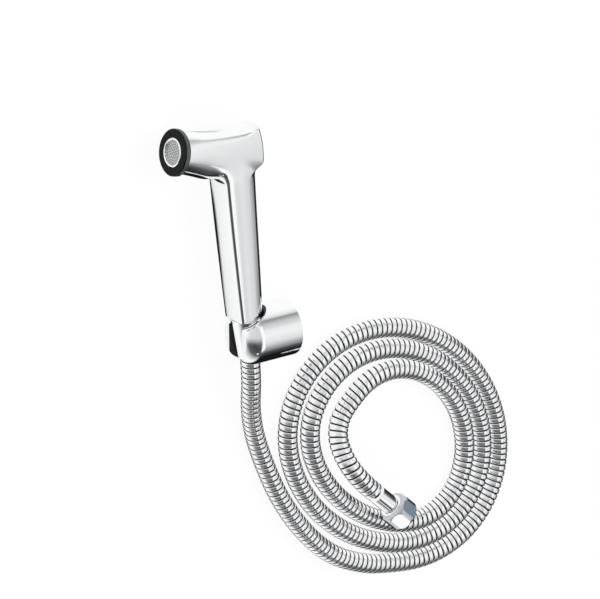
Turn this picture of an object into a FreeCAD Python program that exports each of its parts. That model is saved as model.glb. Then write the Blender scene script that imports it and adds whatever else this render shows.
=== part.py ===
import FreeCAD, Part
import math
import os
import re

import Sketcher
from FreeCAD import Placement, Rotation, Vector

# Handheld bidet shower: chromed handset with a thumb button, double-lock hose laid in a flat
# coil, and a wall holder. The set lies on a surface. The row frame has its origin in the middle
# of the holder's wall face, +X towards the wall, +Y up the handset and +Z up from the surface.

doc = FreeCAD.newDocument("bidet_shower")

# Driving dimensions in millimetres and degrees.
SIZES = [
    # Handset, in its own frame: origin at the foot of the grip, z up the grip, x to the back.
    ("grip_foot_x", -33.6, "foot of the grip, distance from the wall face"),
    ("grip_foot_y", 15.3, "foot of the grip, height above the holder's centre line"),
    ("grip_lean", 4.4, "lean of the grip away from the wall"),
    ("grip_length", 104.0, "foot of the grip to the shoulder"),
    ("grip_root", 26.0, "grip's last section, inside the head, above the shoulder"),
    ("foot_front", 11.1, "grip foot, axis to front face"),
    ("foot_back", 11.6, "grip foot, axis to back"),
    ("foot_half", 11.0, "grip foot, half width of the front face"),
    ("foot_round", 9.3, "grip foot, radius of the rounded back"),
    ("neck_front", 13.5, "grip under the head, axis to front face"),
    ("neck_back", 14.9, "grip under the head, axis to back"),
    ("neck_half", 12.0, "grip under the head, half width of the front face"),
    ("neck_round", 10.0, "grip under the head, radius of the rounded back"),
    ("root_half", 9.8, "grip inside the head, half width of the front face"),
    ("overrun", 1.0, "cuts run this far past the faces they open"),
    ("back_turn", 15.0, "slope of the grip's side where the rounded back begins"),
    ("nozzle_reach", 44.3, "grip axis forward to the centre of the head's front"),
    ("nozzle_height", 33.5, "shoulder up to the centre of the head's front"),
    ("nozzle_rise", 17.6, "rise of the nozzle above square to the grip"),
    ("nose_radius", 14.5, "radius of the head's round front"),
    ("crease_angle", 43.0, "upper crease on the round front, above the middle"),
    ("keel_angle", 40.0, "lower crease on the round front, below the middle"),
    ("mid_back", -24.0, "middle section of the head, centre from the grip axis"),
    ("mid_height", 27.0, "middle section of the head, centre above the shoulder"),
    ("mid_turn", 78.0, "middle section of the head, turn from the grip's section"),
    ("mid_rise", 14.4, "middle section, centre up to the upper creases"),
    ("mid_top_half", 10.4, "middle section, half width at the upper creases"),
    ("mid_crown", 2.2, "middle section, crown of the top"),
    ("mid_drop", 11.5, "middle section, centre down to the lower creases"),
    ("mid_low_half", 11.2, "middle section, half width at the lower creases"),
    ("mid_keel", 7.1, "middle section, depth of the keel"),
    ("mid_bulge", 1.2, "middle section, bulge of the sides"),
    ("saddle_back", -1.0, "saddle section of the head, centre from the grip axis"),
    ("saddle_height", 23.0, "saddle section of the head, centre above the shoulder"),
    ("saddle_turn", 86.0, "saddle section of the head, turn from the grip's section"),
    ("saddle_rise", 12.2, "saddle section, centre up to the upper creases"),
    ("saddle_top_half", 10.0, "saddle section, half width at the upper creases"),
    ("saddle_crown", 0.8, "saddle section, crown of the top"),
    ("saddle_drop", 14.0, "saddle section, centre down to the lower creases"),
    ("saddle_low_half", 11.4, "saddle section, half width at the lower creases"),
    ("saddle_keel", 4.6, "saddle section, depth of the keel"),
    ("saddle_bulge", 0.9, "saddle section, bulge of the sides"),
    ("rear_back", 18.1, "rear face, centre from the grip axis"),
    ("rear_height", 23.7, "rear face, centre above the shoulder"),
    ("rear_turn", 99.2, "rear face, turn from the grip's section"),
    ("rear_rise", 12.0, "rear face, centre up to the upper creases"),
    ("rear_top_half", 10.0, "rear face, half width at the top"),
    ("rear_crown", 0.7, "rear face, crown of the top edge"),
    ("rear_drop", 12.1, "rear face, centre down to its lower edge"),
    ("rear_low_half", 10.6, "rear face, half width at the lower edge"),
    ("rear_keel", 0.3, "rear face, crown of the lower edge"),
    ("rear_bulge", 0.5, "rear face, bulge of the sides"),
    ("shoulder_height", 11.6, "rear block's lower edge above the shoulder"),
    ("shoulder_start", 1.0, "start of the flare under the rear block, above the shoulder"),
    ("shoulder_inset", 0.3, "start of the flare, inside the grip's sides"),
    ("shoulder_front", 3.0, "top of the flare, behind the grip's front face"),
    ("shoulder_side", 1.0, "top of the flare, inside the grip's sides"),
    ("crotch_round", 5.0, "rounding under the head, against the grip"),
    # Waterway and valve.
    ("water_radius", 3.5, "radius of the water channel in the grip"),
    ("water_offset", 2.0, "channel forward of the grip axis"),
    ("water_drop", 5.0, "top of the channel below the centre of the rear face"),
    ("button_length", 18.9, "push button, along the rear face"),
    ("button_width", 16.9, "push button, across the rear face"),
    ("button_corner", 4.0, "push button, corner radius"),
    ("button_proud", 1.3, "push button, stands proud of the rear face at rest"),
    ("button_thickness", 4.8, "push button, thickness"),
    ("button_edge", 1.0, "push button, rounding of its front edge"),
    ("button_gap", 0.3, "push button, gap all round"),
    ("button_pocket", 8.5, "depth of the button's pocket"),
    ("button_boss", 3.2, "push button, radius of the boss round the stem"),
    ("stem_radius", 2.0, "valve stem"),
    ("stem_fit", 0.05, "running fit of the valve stem"),
    ("stem_socket", 2.4, "depth of the stem in the button"),
    ("bonnet_radius", 7.45, "valve bonnet"),
    ("bonnet_length", 8.0, "valve bonnet"),
    ("bore_gap", 0.05, "assembly gap of fixed round pieces"),
    ("spring_seat", 3.0, "depth of the spring's seat in the bonnet"),
    ("spring_groove", 1.0, "depth of the spring's seat in the button"),
    ("spring_radius", 4.2, "valve spring, mean radius"),
    ("spring_wire", 0.9, "valve spring, wire diameter"),
    ("spring_turns", 4.0, "valve spring, turns"),
    ("seat_depth", 24.0, "valve seat, depth of its rear side"),
    ("seat_thickness", 2.0, "valve seat"),
    ("seat_hole", 3.9, "valve seat, radius of its hole"),
    ("outlet_radius", 7.0, "chamber on the outlet side of the seat"),
    ("outlet_length", 10.0, "chamber on the outlet side of the seat"),
    ("poppet_radius", 5.6, "poppet and its seal"),
    ("poppet_thickness", 2.0, "poppet"),
    ("seal_thickness", 1.6, "valve seal"),
    ("ring_depth", 2.5, "middle of the O-rings below the spring's seat"),
    ("ring_section", 0.93, "stem O-ring, section radius"),
    ("bonnet_ring_section", 0.55, "bonnet O-ring, section radius"),
    # Nozzle, in its own frame: z out of the head.
    ("collar_radius", 16.6, "black nozzle ring"),
    ("collar_depth", 4.6, "black nozzle ring, stands out of the head"),
    ("collar_edge", 0.8, "black nozzle ring, chamfers"),
    ("socket_radius", 12.0, "socket in the head's front"),
    ("socket_depth", 7.5, "socket in the head's front"),
    ("gasket_thickness", 2.0, "nozzle gasket"),
    ("bezel_radius", 10.2, "chrome bezel, outside"),
    ("bezel_inner", 8.8, "chrome bezel, inside"),
    ("bezel_proud", 0.3, "chrome bezel, proud of the ring"),
    ("plate_ledge", 0.8, "ledge that carries the spray plate"),
    ("plate_thickness", 0.6, "spray plate"),
    ("plate_sunk", 1.7, "spray plate, back of the bezel's front"),
    ("spray_hole", 0.9, "spray hole, diameter"),
    ("spray_pitch", 1.9, "distance between rings of spray holes"),
    ("insert_wall", 0.9, "wall of the spray insert"),
    ("insert_floor", 2.0, "floor of the spray insert"),
    ("insert_hole", 3.0, "holes in the spray insert, diameter"),
    ("insert_edge", 1.0, "holes in the spray insert, from the edge of the bore"),
    ("outlet_bore", 6.5, "radius of the bore from the valve to the nozzle"),
    ("outlet_reach", 36.0, "length of the bore from the head's front"),
    # Grip end of the hose, in the handset's frame.
    ("tail_thread", 10.2, "threaded tail, radius over its thread"),
    ("tail_chamfer", 0.6, "threaded tail, chamfer of its end"),
    ("tail_length", 11.0, "threaded tail below the grip"),
    ("tail_spigot", 8.0, "threaded tail, radius inside the grip"),
    ("tail_spigot_length", 13.0, "threaded tail, length inside the grip"),
    ("tail_bore", 5.0, "threaded tail, bore radius"),
    ("washer_thickness", 1.7, "grip washer"),
    ("cone_top_radius", 11.4, "cone nut at the grip"),
    ("cone_foot_radius", 9.0, "cone nut at the hose"),
    ("cone_length", 29.5, "cone nut"),
    ("cone_edge", 0.5, "cone nut, chamfers"),
    ("cone_band", 3.0, "cone nut, height of the band above the cone"),
    ("cone_gap", 0.5, "cone nut below the foot of the grip"),
    ("cone_hole", 7.6, "cone nut, radius of the hole for the hose"),
    ("flange_radius", 9.6, "flange of the grip ferrule"),
    ("flange_thickness", 1.5, "flange of the grip ferrule"),
    ("sleeve_radius", 7.4, "grip ferrule, sleeve"),
    ("sleeve_length", 10.0, "grip ferrule, sleeve"),
    ("stem_bore", 4.0, "water bore through the ferrules"),
    # Hose and its free end.
    ("hose_radius", 7.0, "double-lock hose, outside"),
    ("hose_height", -13.0, "centre of the hose where it lies on the surface"),
    ("far_ferrule_radius", 6.7, "far ferrule"),
    ("far_ferrule_edge", 0.6, "far ferrule, chamfer towards the nut"),
    ("far_ferrule_lip", 0.4, "far ferrule, chamfer towards the hose"),
    ("far_ferrule_length", 15.5, "far ferrule"),
    ("far_neck_radius", 5.2, "neck of the far ferrule, through the nut"),
    ("far_neck_length", 5.0, "neck of the far ferrule"),
    ("far_nut_flats", 22.0, "far nut, across flats"),
    ("far_nut_length", 15.7, "far nut"),
    ("far_nut_start", 0.5, "far nut, from the ferrule's sleeve"),
    ("far_nut_wall", 4.1, "far nut, rear wall"),
    ("far_nut_bore", 9.3, "far nut, thread bore radius"),
    ("far_nut_barrel", 11.9, "far nut, radius over its rounded corners"),
    ("far_nut_back", 8.4, "far nut, radius of its face towards the hose"),
    ("far_nut_back_round", 4.2, "far nut, length of the rounding towards the hose"),
    ("far_nut_mouth", 10.3, "far nut, radius of its mouth's face"),
    ("far_nut_mouth_round", 3.3, "far nut, length of the rounding towards the mouth"),
    ("far_nut_gap", 0.3, "far nut, gap on the neck"),
    ("far_stem_wall", 0.8, "far stem, wall"),
    ("far_stem_start", 2.0, "far stem, from the hose's end"),
    ("far_flange_radius", 8.6, "far stem, flange"),
    ("far_flange_thickness", 1.5, "far stem, flange"),
    ("far_washer_radius", 8.9, "far washer"),
    ("far_washer_thickness", 2.0, "far washer"),
    ("far_washer_ring", 0.5, "far washer, hole larger than the bore"),
    ("far_nut_relief", 0.4, "far nut, relief behind the thread"),
    # Wall holder, in its own frame: z away from the wall.
    ("holder_radius", 20.0, "holder barrel"),
    ("holder_straight", 31.0, "holder barrel, straight length"),
    ("holder_length", 43.0, "holder barrel, wall to front"),
    ("holder_nose", 13.6, "holder barrel, radius of its front"),
    ("holder_wall", 3.0, "holder barrel, wall round the wall plate"),
    ("plate_depth", 7.0, "wall plate"),
    ("plate_gap", 0.3, "holder to wall plate"),
    ("plate_core", 11.0, "wall plate, radius of its recess"),
    ("plate_web", 3.0, "wall plate, thickness at the screws"),
    ("screw_spacing", 12.0, "wall screws, centre to centre"),
    ("screw_hole", 2.25, "wall screws, hole radius"),
    ("cradle_foot", 9.4, "cradle, radius at the foot of the cone nut"),
    ("cradle_mouth", 12.8, "cradle, radius at its mouth"),
    ("cradle_height", 36.0, "cradle, foot to mouth"),
    ("cradle_hole", 8.5, "cradle, radius of the hole under the cone nut"),
    ("cradle_back", 19.0, "top of the cradle's slope, distance from the wall"),
    ("cradle_tip", 9.0, "foot of the cradle's slope, height at the holder's front"),
    ("slot_half", 8.0, "front slot, half width"),
    ("lock_radius", 1.95, "lock screw"),
    ("lock_length", 7.0, "lock screw"),
    ("lock_depth", 3.6, "lock screw, from the wall face"),
    ("lock_sunk", 0.5, "lock screw, below the barrel's surface"),
    ("lock_edge", 0.3, "lock screw, chamfer of its head"),
    ("lock_tip", 0.6, "lock screw, chamfer of its tip"),
    ("lock_key_depth", 2.1, "lock screw, depth of its key hole"),
    ("lock_key", 1.0, "lock screw, radius of its key hole"),
]

sheet = doc.addObject("Spreadsheet::Sheet", "Sizes")
for line, (alias, value, meaning) in enumerate(SIZES, start=1):
    sheet.set(f"A{line}", meaning)
    sheet.set(f"B{line}", str(value))
    sheet.setAlias(f"B{line}", alias)
doc.recompute()

NAMES = {alias for alias, value, meaning in SIZES}
WORD = re.compile(r"[a-z][a-z_]*")


def on_sheet(text):
    """An expression in the sheet's names, as the document writes it."""
    return WORD.sub(lambda word: f"Sizes.{word[0]}" if word[0] in NAMES else word[0], text)


def value_of(text):
    """The number that an expression in the sheet's names gives."""
    return float(sheet.evalExpression(on_sheet(text)))


# Frames of the groups of pieces.

def turned_about_y(angle):
    return Rotation(Vector(0, 1, 0), angle)


HANDSET = Placement(
    Vector(value_of("grip_foot_x"), value_of("grip_foot_y"), 0),
    Rotation(Vector(0, 0, 1), value_of("grip_lean")) * Rotation(Vector(1, 0, 0), -90),
)
NOZZLE_IN_HANDSET = Placement(
    Vector(-value_of("nozzle_reach"), 0, value_of("grip_length + nozzle_height")),
    turned_about_y(value_of("nozzle_rise") - 90),
)
REAR_IN_HANDSET = Placement(
    Vector(value_of("rear_back"), 0, value_of("grip_length + rear_height")),
    turned_about_y(180 - value_of("rear_turn")),
)
NOZZLE = HANDSET * NOZZLE_IN_HANDSET
REAR = HANDSET * REAR_IN_HANDSET
WALL = Placement(Vector(0, 0, 0), Rotation(Vector(0, 0, 1), Vector(0, 1, 0), Vector(-1, 0, 0), "ZXY"))


# Sketch tools.

def new_body(label, place):
    body = doc.addObject("PartDesign::Body", label)
    body.Label = label
    body.Placement = place
    return body


def new_sketch(body, name, role="XY_Plane"):
    sketch = body.newObject("Sketcher::SketchObject", name)
    plane = next(item for item in body.Origin.OriginFeatures if item.Role == role)
    sketch.AttachmentSupport = [(plane, "")]
    sketch.MapMode = "FlatFace"
    return sketch


def end_at(sketch, edge, point):
    """Which end of an edge, 1 or 2, lies at a point."""
    first = sketch.getPoint(edge, 1).distanceToPoint(point)
    second = sketch.getPoint(edge, 2).distanceToPoint(point)
    return 1 if first < second else 2


def hold(sketch, kind, edge, end, text):
    """Bind a corner's distance from the sketch's origin to an expression."""
    value = value_of(text)
    if abs(value) < 1e-9:
        axis = -2 if kind == "DistanceX" else -1
        sketch.addConstraint(Sketcher.Constraint("PointOnObject", edge, end, axis))
        return
    at = sketch.addConstraint(Sketcher.Constraint(kind, -1, 1, edge, end, value))
    sketch.setExpression(f"Constraints[{at}]", on_sheet(text))


def closed_outline(sketch, corners):
    """Straight-sided outline with every corner bound to the sheet."""
    points = [Vector(value_of(across), value_of(up), 0) for across, up in corners]
    count = len(points)
    for index in range(count):
        sketch.addGeometry(Part.LineSegment(points[index], points[(index + 1) % count]), False)
    for index in range(count):
        following = (index + 1) % count
        sketch.addConstraint(Sketcher.Constraint("Coincident", index, 2, following, 1))
    for index, (across, up) in enumerate(corners):
        hold(sketch, "DistanceX", index, 1, across)
        hold(sketch, "DistanceY", index, 1, up)


def turned(label, place, corners):
    """A piece of revolution about its own z axis; corners are (radius, height)."""
    body = new_body(label, place)
    sketch = new_sketch(body, label + "_profile", "XZ_Plane")
    closed_outline(sketch, corners)
    revolution = body.newObject("PartDesign::Revolution", label + "_turned")
    revolution.Profile = sketch
    revolution.ReferenceAxis = (sketch, ["V_Axis"])
    revolution.Angle = 360
    return body


def bore(body, name, place, radius, length, start="0"):
    """A round hole that begins at start and runs length along z of place."""
    hole = body.newObject("PartDesign::SubtractiveCylinder", name)
    plane = next(item for item in body.Origin.OriginFeatures if item.Role == "XY_Plane")
    hole.AttachmentSupport = [(plane, "")]
    hole.MapMode = "FlatFace"
    hole.AttachmentOffset = place * Placement(Vector(0, 0, value_of(start)), Rotation())
    hole.setExpression("Radius", on_sheet(radius))
    hole.setExpression("Height", on_sheet(length))
    return hole


def arc_between(start, end, radius, outward):
    """Arc from start to end with its bulge on the side of outward."""
    middle = (start + end) * 0.5
    half = start.distanceToPoint(end) / 2
    sagitta = radius - math.sqrt(radius * radius - half * half)
    return Part.Arc(start, middle + outward * sagitta, end)


def four_sided(body, name, low, high, low_radius, high_radius, side_radius, offset):
    """Section symmetric about its x axis: a low edge, a high edge and two curved sides.

    low and high are the (x, y) of the corners at +y. A low_radius of None is a straight edge.
    A side_radius of None lets the sides run smoothly into the high edge, at back_turn.
    """
    sketch = new_sketch(body, name)
    height, across, turn = offset
    sketch.AttachmentOffset = Placement(
        Vector(value_of(across), 0, value_of(height)),
        Rotation(Vector(0, -1, 0), value_of(turn)),
    )
    sketch.setExpression("AttachmentOffset.Base.x", on_sheet(across))
    sketch.setExpression("AttachmentOffset.Base.z", on_sheet(height))
    low_corner = Vector(value_of(low[0]), value_of(low[1]), 0)
    high_corner = Vector(value_of(high[0]), value_of(high[1]), 0)
    flipped = [Vector(point.x, -point.y, 0) for point in (low_corner, high_corner)]
    if side_radius is None:
        slope = math.radians(value_of("back_turn"))
        inward = Vector(-math.sin(slope), -math.cos(slope), 0)
        span = low_corner - high_corner
        radius = span.dot(span) / (2 * inward.dot(span))
    else:
        radius = value_of(side_radius)
    up = Vector(0, 1, 0)
    side = sketch.addGeometry(arc_between(low_corner, high_corner, radius, up), False)
    top = sketch.addGeometry(
        arc_between(high_corner, flipped[1], value_of(high_radius), Vector(1, 0, 0)), False)
    other = sketch.addGeometry(arc_between(flipped[1], flipped[0], radius, -up), False)
    if low_radius is None:
        bottom = sketch.addGeometry(Part.LineSegment(flipped[0], low_corner), False)
    else:
        bottom = sketch.addGeometry(
            arc_between(flipped[0], low_corner, value_of(low_radius), Vector(-1, 0, 0)), False)

    def joined(kind, first, second, point):
        sketch.addConstraint(Sketcher.Constraint(
            kind, first, end_at(sketch, first, point), second, end_at(sketch, second, point)))

    smooth = "Tangent" if side_radius is None else "Coincident"
    joined(smooth, side, top, high_corner)
    joined(smooth, top, other, flipped[1])
    joined("Coincident", other, bottom, flipped[0])
    joined("Coincident", bottom, side, low_corner)
    side_low = end_at(sketch, side, low_corner)
    side_high = end_at(sketch, side, high_corner)
    other_low = end_at(sketch, other, flipped[0])
    other_high = end_at(sketch, other, flipped[1])
    sketch.addConstraint(Sketcher.Constraint("Symmetric", side, side_low, other, other_low, -1))
    sketch.addConstraint(Sketcher.Constraint("Symmetric", side, side_high, other, other_high, -1))
    hold(sketch, "DistanceX", side, side_low, low[0])
    hold(sketch, "DistanceY", side, side_low, low[1])
    hold(sketch, "DistanceX", side, side_high, high[0])
    radii = [(top, high_radius)]
    if low_radius is not None:
        radii.append((bottom, low_radius))
    if side_radius is not None:
        hold(sketch, "DistanceY", side, side_high, high[1])
        radii.append((side, side_radius))
        sketch.addConstraint(Sketcher.Constraint("Equal", side, other))
    else:
        hold(sketch, "DistanceY", side, side_high, high[1])
    for edge, text in radii:
        at = sketch.addConstraint(Sketcher.Constraint("Radius", edge, value_of(text)))
        sketch.setExpression(f"Constraints[{at}]", on_sheet(text))
    return sketch


def loft(body, name, sections, ruled=False):
    feature = body.newObject("PartDesign::AdditiveLoft", name)
    feature.Profile = sections[0]
    feature.Sections = sections[1:]
    feature.Ruled = ruled
    return feature


def bulge_radius(half, height):
    """Radius of an arc, from its half chord and its height, as an expression."""
    return f"(({half}) ^ 2 + ({height}) ^ 2) / (2 * ({height}))"


# Handset body: a D-shaped grip, a head that runs from a round front to a square rear block,
# and a shoulder that carries the block out over the back of the grip.

def grip_section(body, name, part, height, half=""):
    """D-shaped section: flat front face, smooth sides, rounded back."""
    corner = (f"-{part}_front", half or f"{part}_half")
    joint = (f"{part}_back - {part}_round * (1 - sin(back_turn * 1deg))",
             f"{part}_round * cos(back_turn * 1deg)")
    return four_sided(body, name, corner, joint, None, f"{part}_round", None, (height, "0", "0"))


def head_section(body, name, part):
    low = (f"-{part}_drop", f"{part}_low_half")
    high = (f"{part}_rise", f"{part}_top_half")
    chord = f"sqrt(({part}_rise + {part}_drop) ^ 2 + ({part}_low_half - {part}_top_half) ^ 2) / 2"
    return four_sided(
        body, name, low, high,
        bulge_radius(f"{part}_low_half", f"{part}_keel"),
        bulge_radius(f"{part}_top_half", f"{part}_crown"),
        bulge_radius(chord, f"{part}_bulge"),
        (f"grip_length + {part}_height", f"{part}_back", f"{part}_turn"))


def lies_in_crotch(edge):
    """Whether an edge is the corner between the head's keel and the grip's front face."""
    middle = edge.valueAt((edge.FirstParameter + edge.LastParameter) / 2)
    front, above = -value_of("neck_front"), value_of("grip_length + 2")
    return abs(middle.x - front) < 0.2 and abs(middle.y) < 1 and above < middle.z < above + 8


def make_handset_body():
    body = new_body("handset_body", HANDSET)
    foot = grip_section(body, "grip_foot", "foot", "0")
    neck = grip_section(body, "grip_neck", "neck", "grip_length")
    root = grip_section(body, "grip_root_section", "neck", "grip_length + grip_root", "root_half")
    loft(body, "grip", [foot, neck], ruled=True)
    loft(body, "grip_into_head", [neck, root], ruled=True)
    round_low = ("-nose_radius * sin(keel_angle * 1deg)", "nose_radius * cos(keel_angle * 1deg)")
    round_high = ("nose_radius * sin(crease_angle * 1deg)", "nose_radius * cos(crease_angle * 1deg)")
    nose = four_sided(body, "head_nose", round_low, round_high, "nose_radius", "nose_radius",
                      "nose_radius", ("grip_length + nozzle_height", "-nozzle_reach", "90 - nozzle_rise"))
    middle = head_section(body, "head_middle", "mid")
    saddle = head_section(body, "head_saddle", "saddle")
    rear = head_section(body, "head_rear", "rear")
    loft(body, "head", [nose, middle, saddle, rear])
    doc.recompute()
    shoulder_low = grip_section(body, "shoulder_low", "neck", "grip_length + shoulder_start",
                                "neck_half - shoulder_inset")
    edge = "rear_back + (rear_height - shoulder_height) * tan((rear_turn - 90) * 1deg)"
    shoulder_high = four_sided(
        body, "shoulder_high", ("-neck_front + shoulder_front", "neck_half - shoulder_side"),
        (edge, "rear_low_half"),
        None, bulge_radius("rear_low_half", "rear_keel"), bulge_radius("neck_front", "rear_bulge"),
        ("grip_length + shoulder_height", "0", "0"))
    shoulder = loft(body, "shoulder", [shoulder_low, shoulder_high], ruled=True)
    doc.recompute()
    crotch = [f"Edge{number}" for number, edge in enumerate(shoulder.Shape.Edges, start=1)
              if lies_in_crotch(edge)]
    crotch_fillet = body.newObject("PartDesign::Fillet", "crotch_fillet")
    crotch_fillet.Base = (shoulder, crotch)
    crotch_fillet.setExpression("Radius", on_sheet("crotch_round"))
    doc.recompute()
    whole = Placement()
    bore(body, "tail_socket", whole, "tail_spigot + bore_gap", "tail_spigot_length")
    channel = Placement(Vector(-value_of("water_offset"), 0, 0), Rotation())
    bore(body, "water_channel", channel, "water_radius",
         "grip_length + rear_height - water_drop")
    bore(body, "nozzle_socket", NOZZLE_IN_HANDSET, "socket_radius", "socket_depth + overrun",
         "-socket_depth")
    bore(body, "outlet_bore_hole", NOZZLE_IN_HANDSET, "outlet_bore", "outlet_reach", "-outlet_reach")
    bore(body, "bonnet_bore", REAR_IN_HANDSET, "bonnet_radius + bore_gap", "seat_depth",
         "-seat_depth")
    bore(body, "seat_bore", REAR_IN_HANDSET, "seat_hole", "seat_thickness + 2 * overrun",
         "-seat_depth - seat_thickness - overrun")
    bore(body, "outlet_chamber", REAR_IN_HANDSET, "outlet_radius", "outlet_length",
         "-seat_depth - seat_thickness - outlet_length")
    pocket_outline = new_sketch(body, "button_pocket_outline")
    pocket_outline.AttachmentOffset = REAR_IN_HANDSET
    rounded_rectangle(pocket_outline, "button_length / 2 + button_gap",
                      "button_width / 2 + button_gap", "button_corner + button_gap")
    pocket = body.newObject("PartDesign::Pocket", "button_pocket_cut")
    pocket.Profile = pocket_outline
    pocket.setExpression("Length", on_sheet("button_pocket"))
    return body


def rounded_rectangle(sketch, half_length, half_width, corner):
    """Rectangle with rounded corners, centred, bound to the sheet."""
    a, b, r = value_of(half_length), value_of(half_width), value_of(corner)
    lines = [
        ((-a + r, b), (a - r, b)), ((a, b - r), (a, -b + r)),
        ((a - r, -b), (-a + r, -b)), ((-a, -b + r), (-a, b - r)),
    ]
    centres = [(a - r, b - r), (a - r, -b + r), (-a + r, -b + r), (-a + r, b - r)]
    starts = [0, -math.pi / 2, -math.pi, math.pi / 2]
    for first, second in lines:
        sketch.addGeometry(Part.LineSegment(Vector(*first, 0), Vector(*second, 0)), False)
    for (x, y), start in zip(centres, starts):
        circle = Part.Circle(Vector(x, y, 0), Vector(0, 0, 1), r)
        sketch.addGeometry(Part.ArcOfCircle(circle, start, start + math.pi / 2), False)
    for index in range(4):
        arc, following = 4 + index, (index + 1) % 4
        line_end = sketch.getPoint(index, 2)
        line_start = sketch.getPoint(following, 1)
        sketch.addConstraint(Sketcher.Constraint("Tangent", index, 2, arc, end_at(sketch, arc, line_end)))
        sketch.addConstraint(
            Sketcher.Constraint("Tangent", following, 1, arc, end_at(sketch, arc, line_start)))
    for line, kind in ((0, "Horizontal"), (1, "Vertical"), (2, "Horizontal"), (3, "Vertical")):
        sketch.addConstraint(Sketcher.Constraint(kind, line))
    for arc in (5, 6, 7):
        sketch.addConstraint(Sketcher.Constraint("Equal", 4, arc))
    at = sketch.addConstraint(Sketcher.Constraint("Radius", 4, r))
    sketch.setExpression(f"Constraints[{at}]", on_sheet(corner))
    hold(sketch, "DistanceY", 0, 1, half_width)
    hold(sketch, "DistanceX", 1, 1, half_length)
    hold(sketch, "DistanceY", 2, 1, f"-({half_width})")
    hold(sketch, "DistanceX", 3, 1, f"-({half_length})")


# Valve group, about the axis of the push button; z is out of the rear face.

def make_push_button():
    body = new_body("push_button", REAR)
    outline = new_sketch(body, "button_outline")
    outline.AttachmentOffset = Placement(Vector(0, 0, value_of("button_proud")), Rotation())
    outline.setExpression("AttachmentOffset.Base.z", on_sheet("button_proud"))
    rounded_rectangle(outline, "button_length / 2", "button_width / 2", "button_corner")
    cap = body.newObject("PartDesign::Pad", "button_cap")
    cap.Profile = outline
    cap.setExpression("Length", on_sheet("button_thickness"))
    cap.Reversed = True
    doc.recompute()
    front = value_of("button_proud")
    rim = [f"Edge{number}" for number, edge in enumerate(cap.Shape.Edges, start=1)
           if all(abs(vertex.Point.z - front) < 1e-4 for vertex in edge.Vertexes)]
    round_off = body.newObject("PartDesign::Fillet", "button_rim")
    round_off.Base = (cap, rim)
    round_off.setExpression("Radius", on_sheet("button_edge"))
    doc.recompute()
    under = "button_proud - button_thickness"
    groove_profile = new_sketch(body, "spring_groove_profile", "XZ_Plane")
    closed_outline(groove_profile, [
        ("button_boss", under + " - overrun"), ("spring_radius + spring_wire", under + " - overrun"),
        ("spring_radius + spring_wire", under + " + spring_groove"),
        ("button_boss", under + " + spring_groove")])
    groove = body.newObject("PartDesign::Groove", "spring_groove_cut")
    groove.Profile = groove_profile
    groove.ReferenceAxis = (groove_profile, ["V_Axis"])
    groove.Angle = 360
    bore(body, "stem_socket_hole", Placement(), "stem_radius + bore_gap", "stem_socket", under)
    return body


def make_valve_stem():
    top = "button_proud - button_thickness + stem_socket"
    seat = "-seat_depth - seat_thickness"
    seal_back = f"{seat} - stem_fit - seal_thickness"
    poppet_back = f"{seal_back} - poppet_thickness"
    return turned("valve_stem", REAR, [
        ("0", top), ("stem_radius", top), ("stem_radius", seal_back), ("poppet_radius", seal_back),
        ("poppet_radius", poppet_back), ("0", poppet_back)])


def make_valve_seal():
    front = "-seat_depth - seat_thickness - stem_fit"
    return turned("valve_seal", REAR, [
        ("stem_radius + bore_gap", front), ("poppet_radius", front),
        ("poppet_radius", f"{front} - seal_thickness"),
        ("stem_radius + bore_gap", f"{front} - seal_thickness")])


RING_LEVEL = "-button_pocket - spring_seat - ring_depth"


def make_valve_bonnet():
    top, foot = "-button_pocket", "-button_pocket - bonnet_length"
    seat = "-button_pocket - spring_seat"
    guide, groove = "stem_radius + stem_fit", "stem_radius + 2 * ring_section + 2 * stem_fit"
    outer_groove = "bonnet_radius - 2 * bonnet_ring_section - bore_gap"
    inner_half, outer_half = "ring_section + bore_gap", "bonnet_ring_section + bore_gap"
    return turned("valve_bonnet", REAR, [
        ("spring_radius + spring_wire", top), ("bonnet_radius", top),
        ("bonnet_radius", f"{RING_LEVEL} + {outer_half}"),
        (outer_groove, f"{RING_LEVEL} + {outer_half}"),
        (outer_groove, f"{RING_LEVEL} - {outer_half}"),
        ("bonnet_radius", f"{RING_LEVEL} - {outer_half}"),
        ("bonnet_radius", foot), (guide, foot), (guide, f"{RING_LEVEL} - {inner_half}"),
        (groove, f"{RING_LEVEL} - {inner_half}"), (groove, f"{RING_LEVEL} + {inner_half}"),
        (guide, f"{RING_LEVEL} + {inner_half}"), (guide, seat), ("spring_radius + spring_wire", seat)])


def make_round_ring(label, place, ring_radius, section_radius, level):
    """An O-ring in its groove."""
    ring = doc.addObject("Part::Torus", label)
    ring.Label = label
    ring.setExpression("Radius1", on_sheet(ring_radius))
    ring.setExpression("Radius2", on_sheet(section_radius))
    ring.Placement = place * Placement(Vector(0, 0, value_of(level)), Rotation())
    return ring


def make_valve_spring():
    body = new_body("valve_spring", REAR)
    wire = new_sketch(body, "spring_wire_section", "XZ_Plane")
    start = "-button_pocket - spring_seat + spring_wire / 2"
    centre = Vector(value_of("spring_radius"), value_of(start), 0)
    wire.addGeometry(Part.Circle(centre, Vector(0, 0, 1), value_of("spring_wire") / 2), False)
    hold(wire, "DistanceX", 0, 3, "spring_radius")
    hold(wire, "DistanceY", 0, 3, start)
    at = wire.addConstraint(Sketcher.Constraint("Radius", 0, value_of("spring_wire") / 2))
    wire.setExpression(f"Constraints[{at}]", on_sheet("spring_wire / 2"))
    coil = body.newObject("PartDesign::AdditiveHelix", "spring_coil")
    coil.Profile = wire
    coil.ReferenceAxis = (wire, ["V_Axis"])
    coil.Mode = "height-turns-angle"
    length = ("button_pocket + spring_seat + button_proud - button_thickness + spring_groove"
              " - spring_wire")
    coil.setExpression("Height", on_sheet(length))
    coil.setExpression("Turns", on_sheet("spring_turns"))
    return body


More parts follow.
